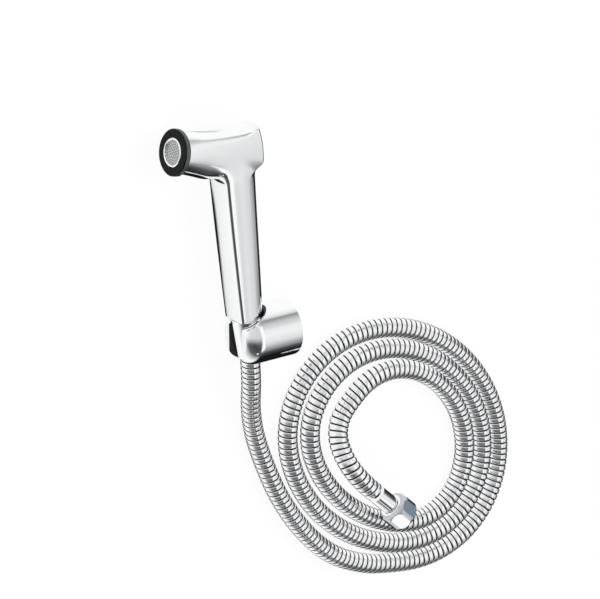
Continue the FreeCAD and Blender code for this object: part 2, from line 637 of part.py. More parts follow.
# Nozzle group, about the nozzle's axis; z is out of the head's front.

GASKET_FRONT = "-socket_depth + gasket_thickness"
BEZEL_FRONT = "collar_depth + bezel_proud"
PLATE_BACK = "collar_depth + bezel_proud - plate_sunk - plate_thickness"


def make_nozzle_ring():
    inner, spigot = "bezel_radius + bore_gap", "socket_radius - bore_gap"
    return turned("nozzle_ring", NOZZLE, [
        (inner, GASKET_FRONT), (spigot, GASKET_FRONT), (spigot, "0"),
        ("collar_radius - collar_edge", "0"), ("collar_radius", "collar_edge"),
        ("collar_radius", "collar_depth - collar_edge"),
        ("collar_radius - collar_edge", "collar_depth"), (inner, "collar_depth")])


def make_nozzle_bezel():
    ledge = "bezel_inner - plate_ledge"
    return turned("nozzle_bezel", NOZZLE, [
        (ledge, GASKET_FRONT), ("bezel_radius", GASKET_FRONT),
        ("bezel_radius", f"{BEZEL_FRONT} - bezel_proud"), ("bezel_radius - bezel_proud", BEZEL_FRONT),
        ("bezel_inner + bezel_proud", BEZEL_FRONT), ("bezel_inner", f"{BEZEL_FRONT} - bezel_proud"),
        ("bezel_inner", PLATE_BACK), (ledge, PLATE_BACK)])


def ring_of_holes(body, name, ring_radius, diameter, count):
    """A pocket patterned round the piece's axis."""
    sketch = new_sketch(body, name + "_circle")
    sketch.AttachmentOffset = Placement(Vector(0, 0, value_of("collar_depth")), Rotation())
    centre = Vector(value_of(ring_radius), 0, 0)
    sketch.addGeometry(Part.Circle(centre, Vector(0, 0, 1), value_of(diameter) / 2), False)
    hold(sketch, "DistanceX", 0, 3, ring_radius)
    sketch.addConstraint(Sketcher.Constraint("PointOnObject", 0, 3, -1))
    at = sketch.addConstraint(Sketcher.Constraint("Diameter", 0, value_of(diameter)))
    sketch.setExpression(f"Constraints[{at}]", on_sheet(diameter))
    pocket = body.newObject("PartDesign::Pocket", name + "_hole")
    pocket.Profile = sketch
    pocket.Type = "ThroughAll"
    if count == 1:
        return
    pattern = body.newObject("PartDesign::PolarPattern", name + "_ring")
    pattern.Originals = [pocket]
    axis = next(item for item in body.Origin.OriginFeatures if item.Role == "Z_Axis")
    pattern.Axis = (axis, [""])
    pattern.Angle = 360
    pattern.Occurrences = count
    body.Tip = pattern


def make_spray_plate():
    front = f"{PLATE_BACK} + plate_thickness"
    body = turned("spray_plate", NOZZLE, [
        ("0", PLATE_BACK), ("bezel_inner - bore_gap", PLATE_BACK), ("bezel_inner - bore_gap", front),
        ("0", front)])
    ring_of_holes(body, "spray_centre", "0", "spray_hole", 1)
    for ring in range(1, 5):
        ring_of_holes(body, f"spray_ring_{ring}", f"spray_pitch * {ring}", "spray_hole", 6 * ring)
    return body


def make_spray_insert():
    rim = "bezel_inner - plate_ledge - bore_gap"
    body = turned("spray_insert", NOZZLE, [
        ("0", GASKET_FRONT), (rim, GASKET_FRONT), (rim, PLATE_BACK),
        (f"{rim} - insert_wall", PLATE_BACK), (f"{rim} - insert_wall", f"{GASKET_FRONT} + insert_floor"),
        ("0", f"{GASKET_FRONT} + insert_floor")])
    ring_of_holes(body, "insert_hole_one", "outlet_bore - insert_hole / 2 - insert_edge", "insert_hole", 6)
    return body


def make_nozzle_gasket():
    return turned("nozzle_gasket", NOZZLE, [
        ("outlet_bore", "-socket_depth"), ("socket_radius - bore_gap", "-socket_depth"),
        ("socket_radius - bore_gap", GASKET_FRONT), ("outlet_bore", GASKET_FRONT)])


# Grip end of the hose, in the handset's frame.

FERRULE_TOP = "-tail_length - washer_thickness"


def make_inlet_tail():
    return turned("inlet_tail", HANDSET, [
        ("tail_bore", "tail_spigot_length"), ("tail_spigot", "tail_spigot_length"),
        ("tail_spigot", "0"), ("tail_thread", "0"), ("tail_thread", "-tail_length + tail_chamfer"),
        ("tail_thread - tail_chamfer", "-tail_length"), ("tail_bore", "-tail_length")])


def make_grip_washer():
    return turned("grip_washer", HANDSET, [
        ("tail_bore", "-tail_length"), ("flange_radius", "-tail_length"),
        ("flange_radius", FERRULE_TOP), ("tail_bore", FERRULE_TOP)])


def make_grip_ferrule():
    under_flange = f"{FERRULE_TOP} - flange_thickness"
    foot = f"{under_flange} - sleeve_length"
    return turned("grip_ferrule", HANDSET, [
        ("stem_bore", FERRULE_TOP), ("flange_radius", FERRULE_TOP), ("flange_radius", under_flange),
        ("sleeve_radius", under_flange), ("sleeve_radius", foot), ("stem_bore", foot)])


def make_cone_nut():
    thread, shoulder = "tail_thread + bore_gap * 2", f"{FERRULE_TOP} - flange_thickness"
    foot = "-cone_gap - cone_length"
    return turned("cone_nut", HANDSET, [
        (thread, "-cone_gap"), ("cone_top_radius - cone_edge", "-cone_gap"),
        ("cone_top_radius", "-cone_gap - cone_edge"), ("cone_top_radius", "-cone_gap - cone_band"),
        ("cone_foot_radius", f"{foot} + cone_edge"), ("cone_foot_radius - cone_edge", foot),
        ("cone_hole", foot), ("cone_hole", shoulder), (thread, shoulder)])


# Hose. It leaves the cone nut, comes down on to the surface, lies in a flat coil of two and a
# half turns and rises over the inner turn to its nut. Points are in the row frame.

TURNS = [
    # centre x, centre y, half width, half height of each turn, outer turn first
    (95.2, -115.2, 74.4, 82.5),
    (97.6, -116.3, 61.1, 68.4),
    (103.6, -117.7, 44.0, 54.0),
]
ACROSS = Vector(1.203, -0.278, 0)
UPWARD = Vector(0.018, 1.071, 0)
STEP_START = 0.70
LAST_TURN = 2.64


def coil_point(turn):
    """Centre line of the coil, after so many turns from its bottom."""
    whole = min(int(turn), len(TURNS) - 1)
    part = turn - whole
    share = 0.0
    if whole < len(TURNS) - 1 and part > STEP_START:
        way = (part - STEP_START) / (1 - STEP_START)
        share = way * way * (3 - 2 * way)
    oval = TURNS[whole]
    if share:
        oval = [a + (b - a) * share for a, b in zip(oval, TURNS[whole + 1])]
    angle = 2 * math.pi * (part - 0.25)
    centre = Vector(oval[0], oval[1], value_of("hose_height"))
    return centre + ACROSS * (oval[2] * math.cos(angle)) + UPWARD * (oval[3] * math.sin(angle))


def coil_side(turn, outward):
    """A point beside the coil's centre line, outward of it."""
    step = 0.001
    along = coil_point(turn + step) - coil_point(max(turn - step, 0))
    along.normalize()
    return coil_point(turn) + Vector(along.y, -along.x, 0) * outward


SLEEVE_END = value_of(f"{FERRULE_TOP} - flange_thickness - sleeve_length")
LEAD_POINTS = [
    (-26.9, -56.5, -7.4),
    (-20.4, -81.0, -12.7),
    (-11.5, -106.5, -13.0),
    (0.5, -134.0, -13.0),
    (19.0, -162.0, -13.0),
    (42.0, -185.5, -13.0),
]
TAIL_POINTS = [
    (45.8, -102.2, -7.4),
]
# Straight lengths at the ends of the two runs of hose, to their first or last corner.
FIRST_RUN = 23.0
LAST_RUN = 24.0
COIL_EXIT_RUN = 19.0
FAR_RUN = 23.0
# Where the hose ends in its far ferrule, and the way it points there.
FAR_END = Vector(68.6, -139.6, 5.9)
FAR_AXIS = Vector(0.716113, -0.696108, 0.051008)


def rounded_path(points):
    """Straight runs joined by tangent arcs, each as large as its two runs allow."""
    edges = []
    radii = []
    start = points[0]
    for before, corner, after in zip(points, points[1:], points[2:]):
        back, forth = before - corner, after - corner
        shorter = min(back.Length, forth.Length)
        back.normalize()
        forth.normalize()
        half_turn = (math.pi - back.getAngle(forth)) / 2
        reach = 0.45 * shorter
        radius = reach / math.tan(half_turn)
        radii.append(radius)
        first, last = corner + back * reach, corner + forth * reach
        inward = back + forth
        inward.normalize()
        middle = corner + inward * (radius / math.cos(half_turn) - radius)
        edges.append(Part.LineSegment(start, first).toShape())
        edges.append(Part.Arc(first, middle, last).toShape())
        start = last
    edges.append(Part.LineSegment(start, points[-1]).toShape())
    return Part.Wire(edges), radii


def make_tube(label, points):
    """A plain round tube of the hose's outside diameter along its route."""
    path, radii = rounded_path(points)
    along = points[1] - points[0]
    along.normalize()
    circle = Part.Circle(points[0], along, value_of("hose_radius"))
    ring = Part.Wire([circle.toShape()])
    solid = path.makePipeShell([ring], True, True)
    tube = doc.addObject("Part::Feature", label)
    tube.Label = label
    tube.Shape = solid
    expected = math.pi * value_of("hose_radius") ** 2 * path.Length
    print(f"{label}: length {path.Length:.1f}, volume ratio {solid.Volume / expected:.4f}, "
          f"radii {', '.join(f'{radius:.0f}' for radius in radii)}")
    return tube, path.Length


def outline_arcs(points):
    """Arcs through a row of points, each over three of them."""
    triples = zip(points[0:-2:2], points[1:-1:2], points[2::2])
    return [Part.Arc(first, middle, last).toShape() for first, middle, last in triples]


def make_coil():
    """Outer shape of the coil: a flat slab, stepped where the hose enters and leaves it."""
    radius, steps = value_of("hose_radius"), 24
    low = Vector(0, 0, -radius)
    outer = [coil_side(step / steps, radius) + low for step in range(steps + 1)]
    first_inner = LAST_TURN - 1
    inner = [coil_side(first_inner + step / steps, -radius) + low for step in range(steps + 1)]
    step = coil_side(LAST_TURN, radius) + low
    wires = []
    for points, corners in ((outer, []), (inner, [step])):
        corners = [points[-1]] + corners + [points[0]]
        closing = [Part.LineSegment(first, second).toShape()
                   for first, second in zip(corners, corners[1:])]
        wires.append(Part.Wire(outline_arcs(points) + closing))
    face = Part.makeFace(wires, "Part::FaceMakerBullseye")
    coil = doc.addObject("Part::Feature", "hose_coil")
    coil.Label = "hose_coil"
    coil.Shape = face.extrude(Vector(0, 0, 2 * radius))
    samples = [coil_point(LAST_TURN * step / 400) for step in range(401)]
    length = sum(a.distanceToPoint(b) for a, b in zip(samples, samples[1:]))
    return coil, length


def make_hose():
    radius = value_of("hose_radius")
    step = coil_side(1, radius) - coil_side(0, radius)
    into_coil = Vector(-step.y, step.x, 0) * -1
    into_coil.normalize()
    out_of_coil = coil_point(LAST_TURN) - coil_point(LAST_TURN - 0.001)
    out_of_coil.normalize()
    lead_points = [HANDSET.multVec(Vector(0, 0, SLEEVE_END))]
    lead_points.append(HANDSET.multVec(Vector(0, 0, SLEEVE_END - FIRST_RUN)))
    lead_points += [Vector(*point) for point in LEAD_POINTS]
    lead_points += [coil_point(0) - into_coil * LAST_RUN, coil_point(0)]
    tail_points = [coil_point(LAST_TURN), coil_point(LAST_TURN) + out_of_coil * COIL_EXIT_RUN]
    tail_points += [Vector(*point) for point in TAIL_POINTS]
    tail_points += [FAR_END - FAR_AXIS * FAR_RUN, FAR_END]
    for points in (lead_points, tail_points):
        print([tuple(round(value, 2) for value in point) for point in points])
    lead, lead_length = make_tube("hose_lead", lead_points)
    coil, coil_length = make_coil()
    tail, tail_length = make_tube("hose_tail", tail_points)
    total = lead_length + coil_length + tail_length
    print(f"hose length {total:.0f} = {lead_length:.0f} + {coil_length:.0f} + {tail_length:.0f}")
    return [lead, coil, tail]


# Free end of the hose; z is out of the nut's mouth.

FAR = Placement(FAR_END, Rotation(Vector(), Vector(0, 0, -1), FAR_AXIS, "ZXY"))
NUT_REAR = "far_ferrule_length + far_nut_start"
NUT_FLOOR = "far_ferrule_length + far_nut_start + far_nut_wall"
NECK_END = "far_ferrule_length + far_neck_length"


def make_far_ferrule():
    return turned("far_ferrule", FAR, [
        ("stem_bore", "0"), ("far_ferrule_radius - far_ferrule_lip", "0"),
        ("far_ferrule_radius", "far_ferrule_lip"),
        ("far_ferrule_radius", "far_ferrule_length - far_ferrule_edge"),
        ("far_ferrule_radius - far_ferrule_edge", "far_ferrule_length"),
        ("far_neck_radius", "far_ferrule_length"), ("far_neck_radius", NECK_END),
        ("stem_bore", NECK_END)])


def make_far_stem():
    tube = "stem_bore - bore_gap"
    return turned("far_stem", FAR, [
        (f"{tube} - far_stem_wall", "far_stem_start"), (tube, "far_stem_start"), (tube, NECK_END),
        ("far_flange_radius", NECK_END),
        ("far_flange_radius", f"{NECK_END} + far_flange_thickness"),
        (f"{tube} - far_stem_wall", f"{NECK_END} + far_flange_thickness")])


def make_far_washer():
    back = f"{NECK_END} + far_flange_thickness"
    return turned("far_washer", FAR, [
        ("stem_bore + far_washer_ring", back), ("far_washer_radius", back),
        ("far_washer_radius", f"{back} + far_washer_thickness"),
        ("stem_bore + far_washer_ring", f"{back} + far_washer_thickness")])


def rounded_profile(body, name, corners):
    """Outline round a barrel: its first and third edges are arcs that run into the second."""
    profile = new_sketch(body, name, "XZ_Plane")
    places = [Vector(value_of(radius), value_of(height), 0) for radius, height in corners]
    count = len(places)
    for index in range(count):
        first, second = places[index], places[(index + 1) % count]
        if index in (0, 2):
            chord = second - first
            rise, run = abs(chord.x), abs(chord.y)
            outward = Vector(run, -math.copysign(rise, chord.x), 0)
            outward.normalize()
            round_radius = (run * run + rise * rise) / (2 * rise)
            profile.addGeometry(arc_between(first, second, round_radius, outward), False)
        else:
            profile.addGeometry(Part.LineSegment(first, second), False)
    ends = [(end_at(profile, index, places[index]), end_at(profile, index, places[(index + 1) % count]))
            for index in range(count)]
    for index in range(count):
        following = (index + 1) % count
        kind = "Tangent" if index in (0, 1) else "Coincident"
        profile.addConstraint(
            Sketcher.Constraint(kind, index, ends[index][1], following, ends[following][0]))
    for index, (radius, height) in enumerate(corners):
        if index != 2:
            hold(profile, "DistanceX", index, ends[index][0], radius)
        hold(profile, "DistanceY", index, ends[index][0], height)
    profile.addConstraint(Sketcher.Constraint("Vertical", 1))
    return profile


def make_far_nut():
    """Hexagonal coupling nut: bored for the thread, rounded at both ends."""
    body = new_body("far_nut", FAR)
    sketch = new_sketch(body, "nut_hexagon")
    sketch.AttachmentOffset = Placement(Vector(0, 0, value_of(NUT_REAR)), Rotation())
    sketch.setExpression("AttachmentOffset.Base.z", on_sheet(NUT_REAR))
    corner = value_of("far_nut_flats / sqrt(3)")
    places = [Vector(corner * math.cos(math.radians(60 * index + 30)),
                     corner * math.sin(math.radians(60 * index + 30)), 0) for index in range(6)]
    for index in range(6):
        sketch.addGeometry(Part.LineSegment(places[index], places[(index + 1) % 6]), False)
    guide = sketch.addGeometry(Part.Circle(Vector(0, 0, 0), Vector(0, 0, 1), corner), True)
    for index in range(6):
        sketch.addConstraint(Sketcher.Constraint("Coincident", index, 2, (index + 1) % 6, 1))
        sketch.addConstraint(Sketcher.Constraint("PointOnObject", index, 1, guide))
    for index in range(1, 6):
        sketch.addConstraint(Sketcher.Constraint("Equal", 0, index))
    sketch.addConstraint(Sketcher.Constraint("Coincident", guide, 3, -1, 1))
    sketch.addConstraint(Sketcher.Constraint("Vertical", 5))
    at = sketch.addConstraint(Sketcher.Constraint("Radius", guide, corner))
    sketch.setExpression(f"Constraints[{at}]", on_sheet("far_nut_flats / sqrt(3)"))
    pad = body.newObject("PartDesign::Pad", "nut_block")
    pad.Profile = sketch
    pad.setExpression("Length", on_sheet("far_nut_length"))
    doc.recompute()
    mouth = f"{NUT_REAR} + far_nut_length"
    corners = [
        ("far_nut_back", NUT_REAR), ("far_nut_barrel", f"{NUT_REAR} + far_nut_back_round"),
        ("far_nut_barrel", f"{mouth} - far_nut_mouth_round"), ("far_nut_mouth", mouth),
        ("far_nut_flats", mouth), ("far_nut_flats", NUT_REAR)]
    dome = body.newObject("PartDesign::Groove", "nut_rounding")
    dome.Profile = rounded_profile(body, "nut_rounding_profile", corners)
    dome.ReferenceAxis = (dome.Profile[0], ["V_Axis"])
    dome.Angle = 360
    bore(body, "nut_neck_hole", Placement(), "far_neck_radius + far_nut_gap",
         "far_nut_wall + 2 * overrun", f"{NUT_REAR} - overrun")
    bore(body, "nut_thread_bore", Placement(), "far_nut_bore", "far_nut_length - far_nut_wall + overrun",
         NUT_FLOOR)
    relief = f"{NECK_END} + far_flange_thickness + far_washer_thickness + far_nut_gap - ({NUT_FLOOR})"
    bore(body, "nut_thread_relief", Placement(), "far_nut_bore + far_nut_relief", relief, NUT_FLOOR)
    return body


# Wall holder, about the barrel's axis; z is away from the wall.

def make_holder_body():
    body = new_body("holder_body", WALL)
    profile = new_sketch(body, "barrel_profile", "XZ_Plane")
    long, straight = value_of("holder_length"), value_of("holder_straight")
    outside, nose = value_of("holder_radius"), value_of("holder_nose")
    corners = [Vector(0, 0, 0), Vector(outside, 0, 0), Vector(outside, straight, 0),
               Vector(nose, long, 0), Vector(0, long, 0)]
    profile.addGeometry(Part.LineSegment(corners[0], corners[1]), False)
    profile.addGeometry(Part.LineSegment(corners[1], corners[2]), False)
    rise, run = outside - nose, long - straight
    radius = (rise * rise + run * run) / (2 * rise)
    centre = Vector(outside - radius, straight, 0)
    end_angle = math.atan2(run, nose - centre.x)
    dome = Part.ArcOfCircle(Part.Circle(centre, Vector(0, 0, 1), radius), 0, end_angle)
    profile.addGeometry(dome, False)
    profile.addGeometry(Part.LineSegment(corners[3], corners[4]), False)
    profile.addGeometry(Part.LineSegment(corners[4], corners[0]), False)
    profile.addConstraint(Sketcher.Constraint("Coincident", 0, 2, 1, 1))
    profile.addConstraint(Sketcher.Constraint("Tangent", 1, 2, 2, 1))
    profile.addConstraint(Sketcher.Constraint("Coincident", 2, 2, 3, 1))
    profile.addConstraint(Sketcher.Constraint("Coincident", 3, 2, 4, 1))
    profile.addConstraint(Sketcher.Constraint("Coincident", 4, 2, 0, 1))
    profile.addConstraint(Sketcher.Constraint("Coincident", 0, 1, -1, 1))
    profile.addConstraint(Sketcher.Constraint("Horizontal", 0))
    profile.addConstraint(Sketcher.Constraint("Vertical", 1))
    profile.addConstraint(Sketcher.Constraint("Horizontal", 3))
    profile.addConstraint(Sketcher.Constraint("Vertical", 4))
    hold(profile, "DistanceX", 0, 2, "holder_radius")
    hold(profile, "DistanceY", 1, 2, "holder_straight")
    hold(profile, "DistanceX", 3, 1, "holder_nose")
    hold(profile, "DistanceY", 3, 1, "holder_length")
    barrel = body.newObject("PartDesign::Revolution", "barrel")
    barrel.Profile = profile
    barrel.ReferenceAxis = (profile, ["V_Axis"])
    barrel.Angle = 360
    doc.recompute()
    bore(body, "plate_recess", Placement(), "holder_radius - holder_wall", "plate_depth + plate_gap")
    handset = WALL.inverse() * HANDSET
    foot = "-cone_gap - cone_length - plate_gap"
    cradle = body.newObject("PartDesign::SubtractiveCone", "cradle_cone")
    plane = next(item for item in body.Origin.OriginFeatures if item.Role == "XY_Plane")
    cradle.AttachmentSupport = [(plane, "")]
    cradle.MapMode = "FlatFace"
    cradle.AttachmentOffset = handset * Placement(Vector(0, 0, value_of(foot)), Rotation())
    cradle.setExpression("Radius1", on_sheet("cradle_foot"))
    cradle.setExpression("Radius2", on_sheet("cradle_mouth"))
    cradle.setExpression("Height", on_sheet("cradle_height"))
    bore(body, "hose_hole", handset, "cradle_hole", "holder_radius", f"{foot} - holder_radius + overrun")
    slot = new_sketch(body, "front_slot_outline")
    slot.AttachmentOffset = Placement(Vector(0, 0, value_of("-grip_foot_x")), Rotation())
    slot.setExpression("AttachmentOffset.Base.z", on_sheet("-grip_foot_x"))
    closed_outline(slot, [
        ("-slot_half", "-holder_radius - overrun"), ("slot_half", "-holder_radius - overrun"),
        ("slot_half", "holder_radius + overrun"), ("-slot_half", "holder_radius + overrun")])
    cut = body.newObject("PartDesign::Pocket", "front_slot")
    cut.Profile = slot
    cut.Reversed = True
    cut.setExpression("Length", on_sheet("holder_length"))
    slope = new_sketch(body, "mouth_slope_outline", "YZ_Plane")
    closed_outline(slope, [
        ("holder_radius", "cradle_back"), ("cradle_tip", "holder_length"),
        ("cradle_tip", "holder_length + overrun"),
        ("holder_radius + overrun", "holder_length + overrun"),
        ("holder_radius + overrun", "cradle_back")])
    mouth = body.newObject("PartDesign::Pocket", "mouth_slope")
    mouth.Profile = slope
    mouth.Type = "ThroughAll"
    mouth.Midplane = True
    lock = Placement(Vector(0, -value_of("holder_radius"), value_of("lock_depth")),
                     Rotation(Vector(1, 0, 0), -90))
    bore(body, "lock_hole", lock, "lock_radius + bore_gap", "holder_radius / 2")
    return body


def make_wall_plate():
    edge = "holder_radius - holder_wall - plate_gap"
    body = turned("wall_plate", WALL, [
        ("0", "0"), (edge, "0"), (edge, "plate_depth"), ("plate_core", "plate_depth"),
        ("plate_core", "plate_web"), ("0", "plate_web")])
    for name, side in (("upper", 1), ("lower", -1)):
        place = Placement(Vector(0, side * value_of("screw_spacing") / 2, 0), Rotation())
        bore(body, f"{name}_screw_hole", place, "screw_hole", "plate_web + 2 * overrun", "-overrun")
    lock = Placement(Vector(0, -value_of("holder_radius"), value_of("lock_depth")),
                     Rotation(Vector(1, 0, 0), -90))
    bore(body, "lock_dimple", lock, "lock_radius + bore_gap", "lock_length + bore_gap", "lock_sunk")
    return body


def make_lock_screw():
    place = Placement(Vector(value_of("-lock_depth"), value_of("-holder_radius + lock_sunk"), 0),
                      Rotation(Vector(1, 0, 0), -90))
    return turned("lock_screw", place, [
        ("0", "lock_key_depth"), ("lock_key", "lock_key_depth"), ("lock_key", "0"),
        ("lock_radius - lock_edge", "0"), ("lock_radius", "lock_edge"),
        ("lock_radius", "lock_length - lock_tip"), ("lock_radius - lock_tip", "lock_length"),
        ("0", "lock_length")])


pieces = [
    make_handset_body(),
    make_push_button(),
    make_valve_stem(),
    make_valve_seal(),
    make_valve_bonnet(),
    make_round_ring("stem_ring", REAR, "stem_radius + stem_fit + ring_section", "ring_section",
                    RING_LEVEL),
    make_round_ring("bonnet_ring", REAR, "bonnet_radius - bonnet_ring_section",
                    "bonnet_ring_section", RING_LEVEL),
    make_valve_spring(),
    make_nozzle_ring(),
    make_nozzle_bezel(),
    make_spray_plate(),
    make_spray_insert(),
    make_nozzle_gasket(),
    make_inlet_tail(),
    make_grip_washer(),
    make_grip_ferrule(),
    make_cone_nut(),
    make_far_ferrule(),
    make_far_stem(),
    make_far_washer(),
    make_far_nut(),
    make_holder_body(),
    make_wall_plate(),
    make_lock_screw(),
] + make_hose()

doc.recompute()

for item in doc.Objects:
    if "Invalid" in item.State or "Error" in item.State:
        raise RuntimeError(f"{item.Label} failed: {item.State} {item.getStatusString()}")
for piece in pieces:
    if piece.Shape.isNull() or not piece.Shape.isValid():
        raise RuntimeError(f"{piece.Label} has no valid shape")

os.makedirs("parts", exist_ok=True)
for piece in pieces:
    piece.Shape.exportStep(f"parts/{piece.Label}.step")
    box = piece.Shape.BoundBox
    print(f"{piece.Label}: {len(piece.Shape.Solids)} solid, volume {piece.Shape.Volume:.0f}, "
          f"x {box.XMin:.1f} {box.XMax:.1f}, y {box.YMin:.1f} {box.YMax:.1f}, "
          f"z {box.ZMin:.1f} {box.ZMax:.1f}")
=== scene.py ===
import math

import bmesh
import bpy
import numpy as np
from mathutils import Matrix, Vector


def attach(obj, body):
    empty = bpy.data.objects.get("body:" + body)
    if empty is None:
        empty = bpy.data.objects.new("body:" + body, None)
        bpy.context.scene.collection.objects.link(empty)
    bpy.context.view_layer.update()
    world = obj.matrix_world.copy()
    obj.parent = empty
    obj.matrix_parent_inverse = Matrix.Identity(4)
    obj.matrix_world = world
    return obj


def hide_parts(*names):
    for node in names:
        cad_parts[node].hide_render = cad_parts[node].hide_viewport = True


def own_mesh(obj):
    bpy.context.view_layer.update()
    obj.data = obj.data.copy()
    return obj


bl_info = {
    "name": "Handheld bidet shower",
    "version": (1, 0, 0),
    "blender": (4, 5, 0),
    "location": "View3D > Sidebar > Bidet shower",
    "description": "Dresses the chromed hand spray, its ribbed hose and its wall holder",
    "category": "Object",
}

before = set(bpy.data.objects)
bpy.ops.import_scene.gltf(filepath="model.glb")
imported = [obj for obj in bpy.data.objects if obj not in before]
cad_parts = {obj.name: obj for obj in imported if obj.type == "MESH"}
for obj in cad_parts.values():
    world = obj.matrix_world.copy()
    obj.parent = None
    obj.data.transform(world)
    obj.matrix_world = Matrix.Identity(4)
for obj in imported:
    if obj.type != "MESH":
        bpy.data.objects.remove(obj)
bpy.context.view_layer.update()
MM = 0.001
FIXED_BODY = "set"


# Sizes and colours that a user would change.

class HandsetSettings(bpy.types.PropertyGroup):
    edge: bpy.props.FloatProperty(
        name="Edge rounding", description="Rounding of the handset's creases", default=0.0021,
        min=0.0001, max=0.004, unit="LENGTH")
    step: bpy.props.FloatProperty(
        name="Surface step", description="Distance between the mesh's cross-sections",
        default=0.0009, min=0.0004, max=0.004, unit="LENGTH")


class HoseSettings(bpy.types.PropertyGroup):
    diameter: bpy.props.FloatProperty(
        name="Diameter", description="Hose outside diameter", default=0.014, unit="LENGTH")
    length: bpy.props.FloatProperty(
        name="Length", description="Length of the hose from ferrule to ferrule", default=1.56,
        unit="LENGTH")
    rib_pitch: bpy.props.FloatProperty(
        name="Rib pitch", description="Distance from one rib to the next", default=0.0041,
        unit="LENGTH")
    rib_depth: bpy.props.FloatProperty(
        name="Rib depth", description="Depth of the grooves between ribs", default=0.0009,
        unit="LENGTH")


class FinishSettings(bpy.types.PropertyGroup):
    chrome: bpy.props.FloatVectorProperty(
        name="Chrome", description="Colour of the chrome plating", subtype="COLOR", size=4,
        default=(0.962, 0.966, 0.97, 1.0), min=0, max=1)
    hose: bpy.props.FloatVectorProperty(
        name="Hose strip", description="Colour of the hose's steel strip", subtype="COLOR", size=4,
        default=(0.96, 0.96, 0.97, 1.0), min=0, max=1)
    collar: bpy.props.FloatVectorProperty(
        name="Nozzle collar", description="Colour of the black collar", subtype="COLOR", size=4,
        default=(0.006, 0.007, 0.006, 1.0), min=0, max=1)
    # The collar's side: the collar's black painted lighter, as painted light on its side.
    collar_side_painted_light: bpy.props.FloatVectorProperty(
        name="Collar side", description="Colour of the collar's side", subtype="COLOR", size=4,
        default=(0.04, 0.045, 0.045, 1.0), min=0, max=1)
    plate: bpy.props.FloatVectorProperty(
        name="Spray plate", description="Colour of the spray plate", subtype="COLOR", size=4,
        default=(0.53, 0.54, 0.545, 1.0), min=0, max=1)
    # Nut corners: the chrome painted darker on the nut's rounded corners, as painted shade between
    # its flats, not a ground finish.
    shade: bpy.props.FloatVectorProperty(
        name="Nut corners", description="Colour of the nut's ground corners", subtype="COLOR",
        size=4, default=(0.56, 0.58, 0.61, 1.0), min=0, max=1)
    brass: bpy.props.FloatVectorProperty(
        name="Brass", description="Colour of the turned brass inserts", subtype="COLOR", size=4,
        default=(0.72, 0.55, 0.28, 1.0), min=0, max=1)


class StudioSettings(bpy.types.PropertyGroup):
    lens: bpy.props.FloatProperty(
        name="Focal length", description="Focal length of the camera", default=1500.0, min=50,
        max=1800)
    floor: bpy.props.FloatVectorProperty(
        name="Floor", description="Colour of the floor", subtype="COLOR", size=4,
        default=(0.93, 0.93, 0.93, 1.0), min=0, max=1)
    sky: bpy.props.FloatProperty(
        name="Sky", description="Strength of the studio's even light", default=0.9, min=0, max=3)


# Materials.

GRAIN_HEIGHT = 0.1 * MM


def fresh_material(name, colour=None):
    """A new material with its nodes and its shader."""
    material = bpy.data.materials.new(name)
    material.use_nodes = True
    tree = material.node_tree
    shader = tree.nodes["Principled BSDF"]
    if colour is not None:
        shader.inputs["Base Color"].default_value = colour
    return material, tree, shader


def grain(tree, scale, detail=3.0):
    """Noise in the object's own space."""
    place = tree.nodes.new("ShaderNodeTexCoord")
    noise = tree.nodes.new("ShaderNodeTexNoise")
    noise.inputs["Scale"].default_value = scale
    noise.inputs["Detail"].default_value = detail
    tree.links.new(place.outputs["Object"], noise.inputs["Vector"])
    return noise


def vary_roughness(tree, shader, noise, low, high):
    wander = tree.nodes.new("ShaderNodeMapRange")
    wander.inputs["To Min"].default_value = low
    wander.inputs["To Max"].default_value = high
    tree.links.new(noise.outputs["Fac"], wander.inputs["Value"])
    tree.links.new(wander.outputs["Result"], shader.inputs["Roughness"])


def add_bump(tree, shader, height, strength, distance):
    """Lets the height raise and lower the surface."""
    bump = tree.nodes.new("ShaderNodeBump")
    bump.inputs["Strength"].default_value = strength
    bump.inputs["Distance"].default_value = distance
    tree.links.new(height, bump.inputs["Height"])
    tree.links.new(bump.outputs["Normal"], shader.inputs["Normal"])


def metal(name, colour, scale, smooth, rough, metallic=1.0):
    """Metal whose roughness wanders between two values."""
    material, tree, shader = fresh_material(name, colour)
    shader.inputs["Metallic"].default_value = metallic
    vary_roughness(tree, shader, grain(tree, scale), smooth, rough)
    return material


def chrome_plating(name="chrome_plating", colour=None):
    colour = colour or bpy.context.scene.bidet_finish.chrome
    return metal(name, colour, scale=60.0, smooth=0.035, rough=0.065)


def bright_steel():
    return metal("bright_steel", (0.6, 0.6, 0.61, 1.0), scale=500.0, smooth=0.25, rough=0.4)


def plate_steel():
    return metal("plate_steel", bpy.context.scene.bidet_finish.plate, scale=1500.0, smooth=0.38,
                 rough=0.5, metallic=0.6)


def turned_brass():
    return metal("turned_brass", bpy.context.scene.bidet_finish.brass, scale=900.0, smooth=0.22,
                 rough=0.34)


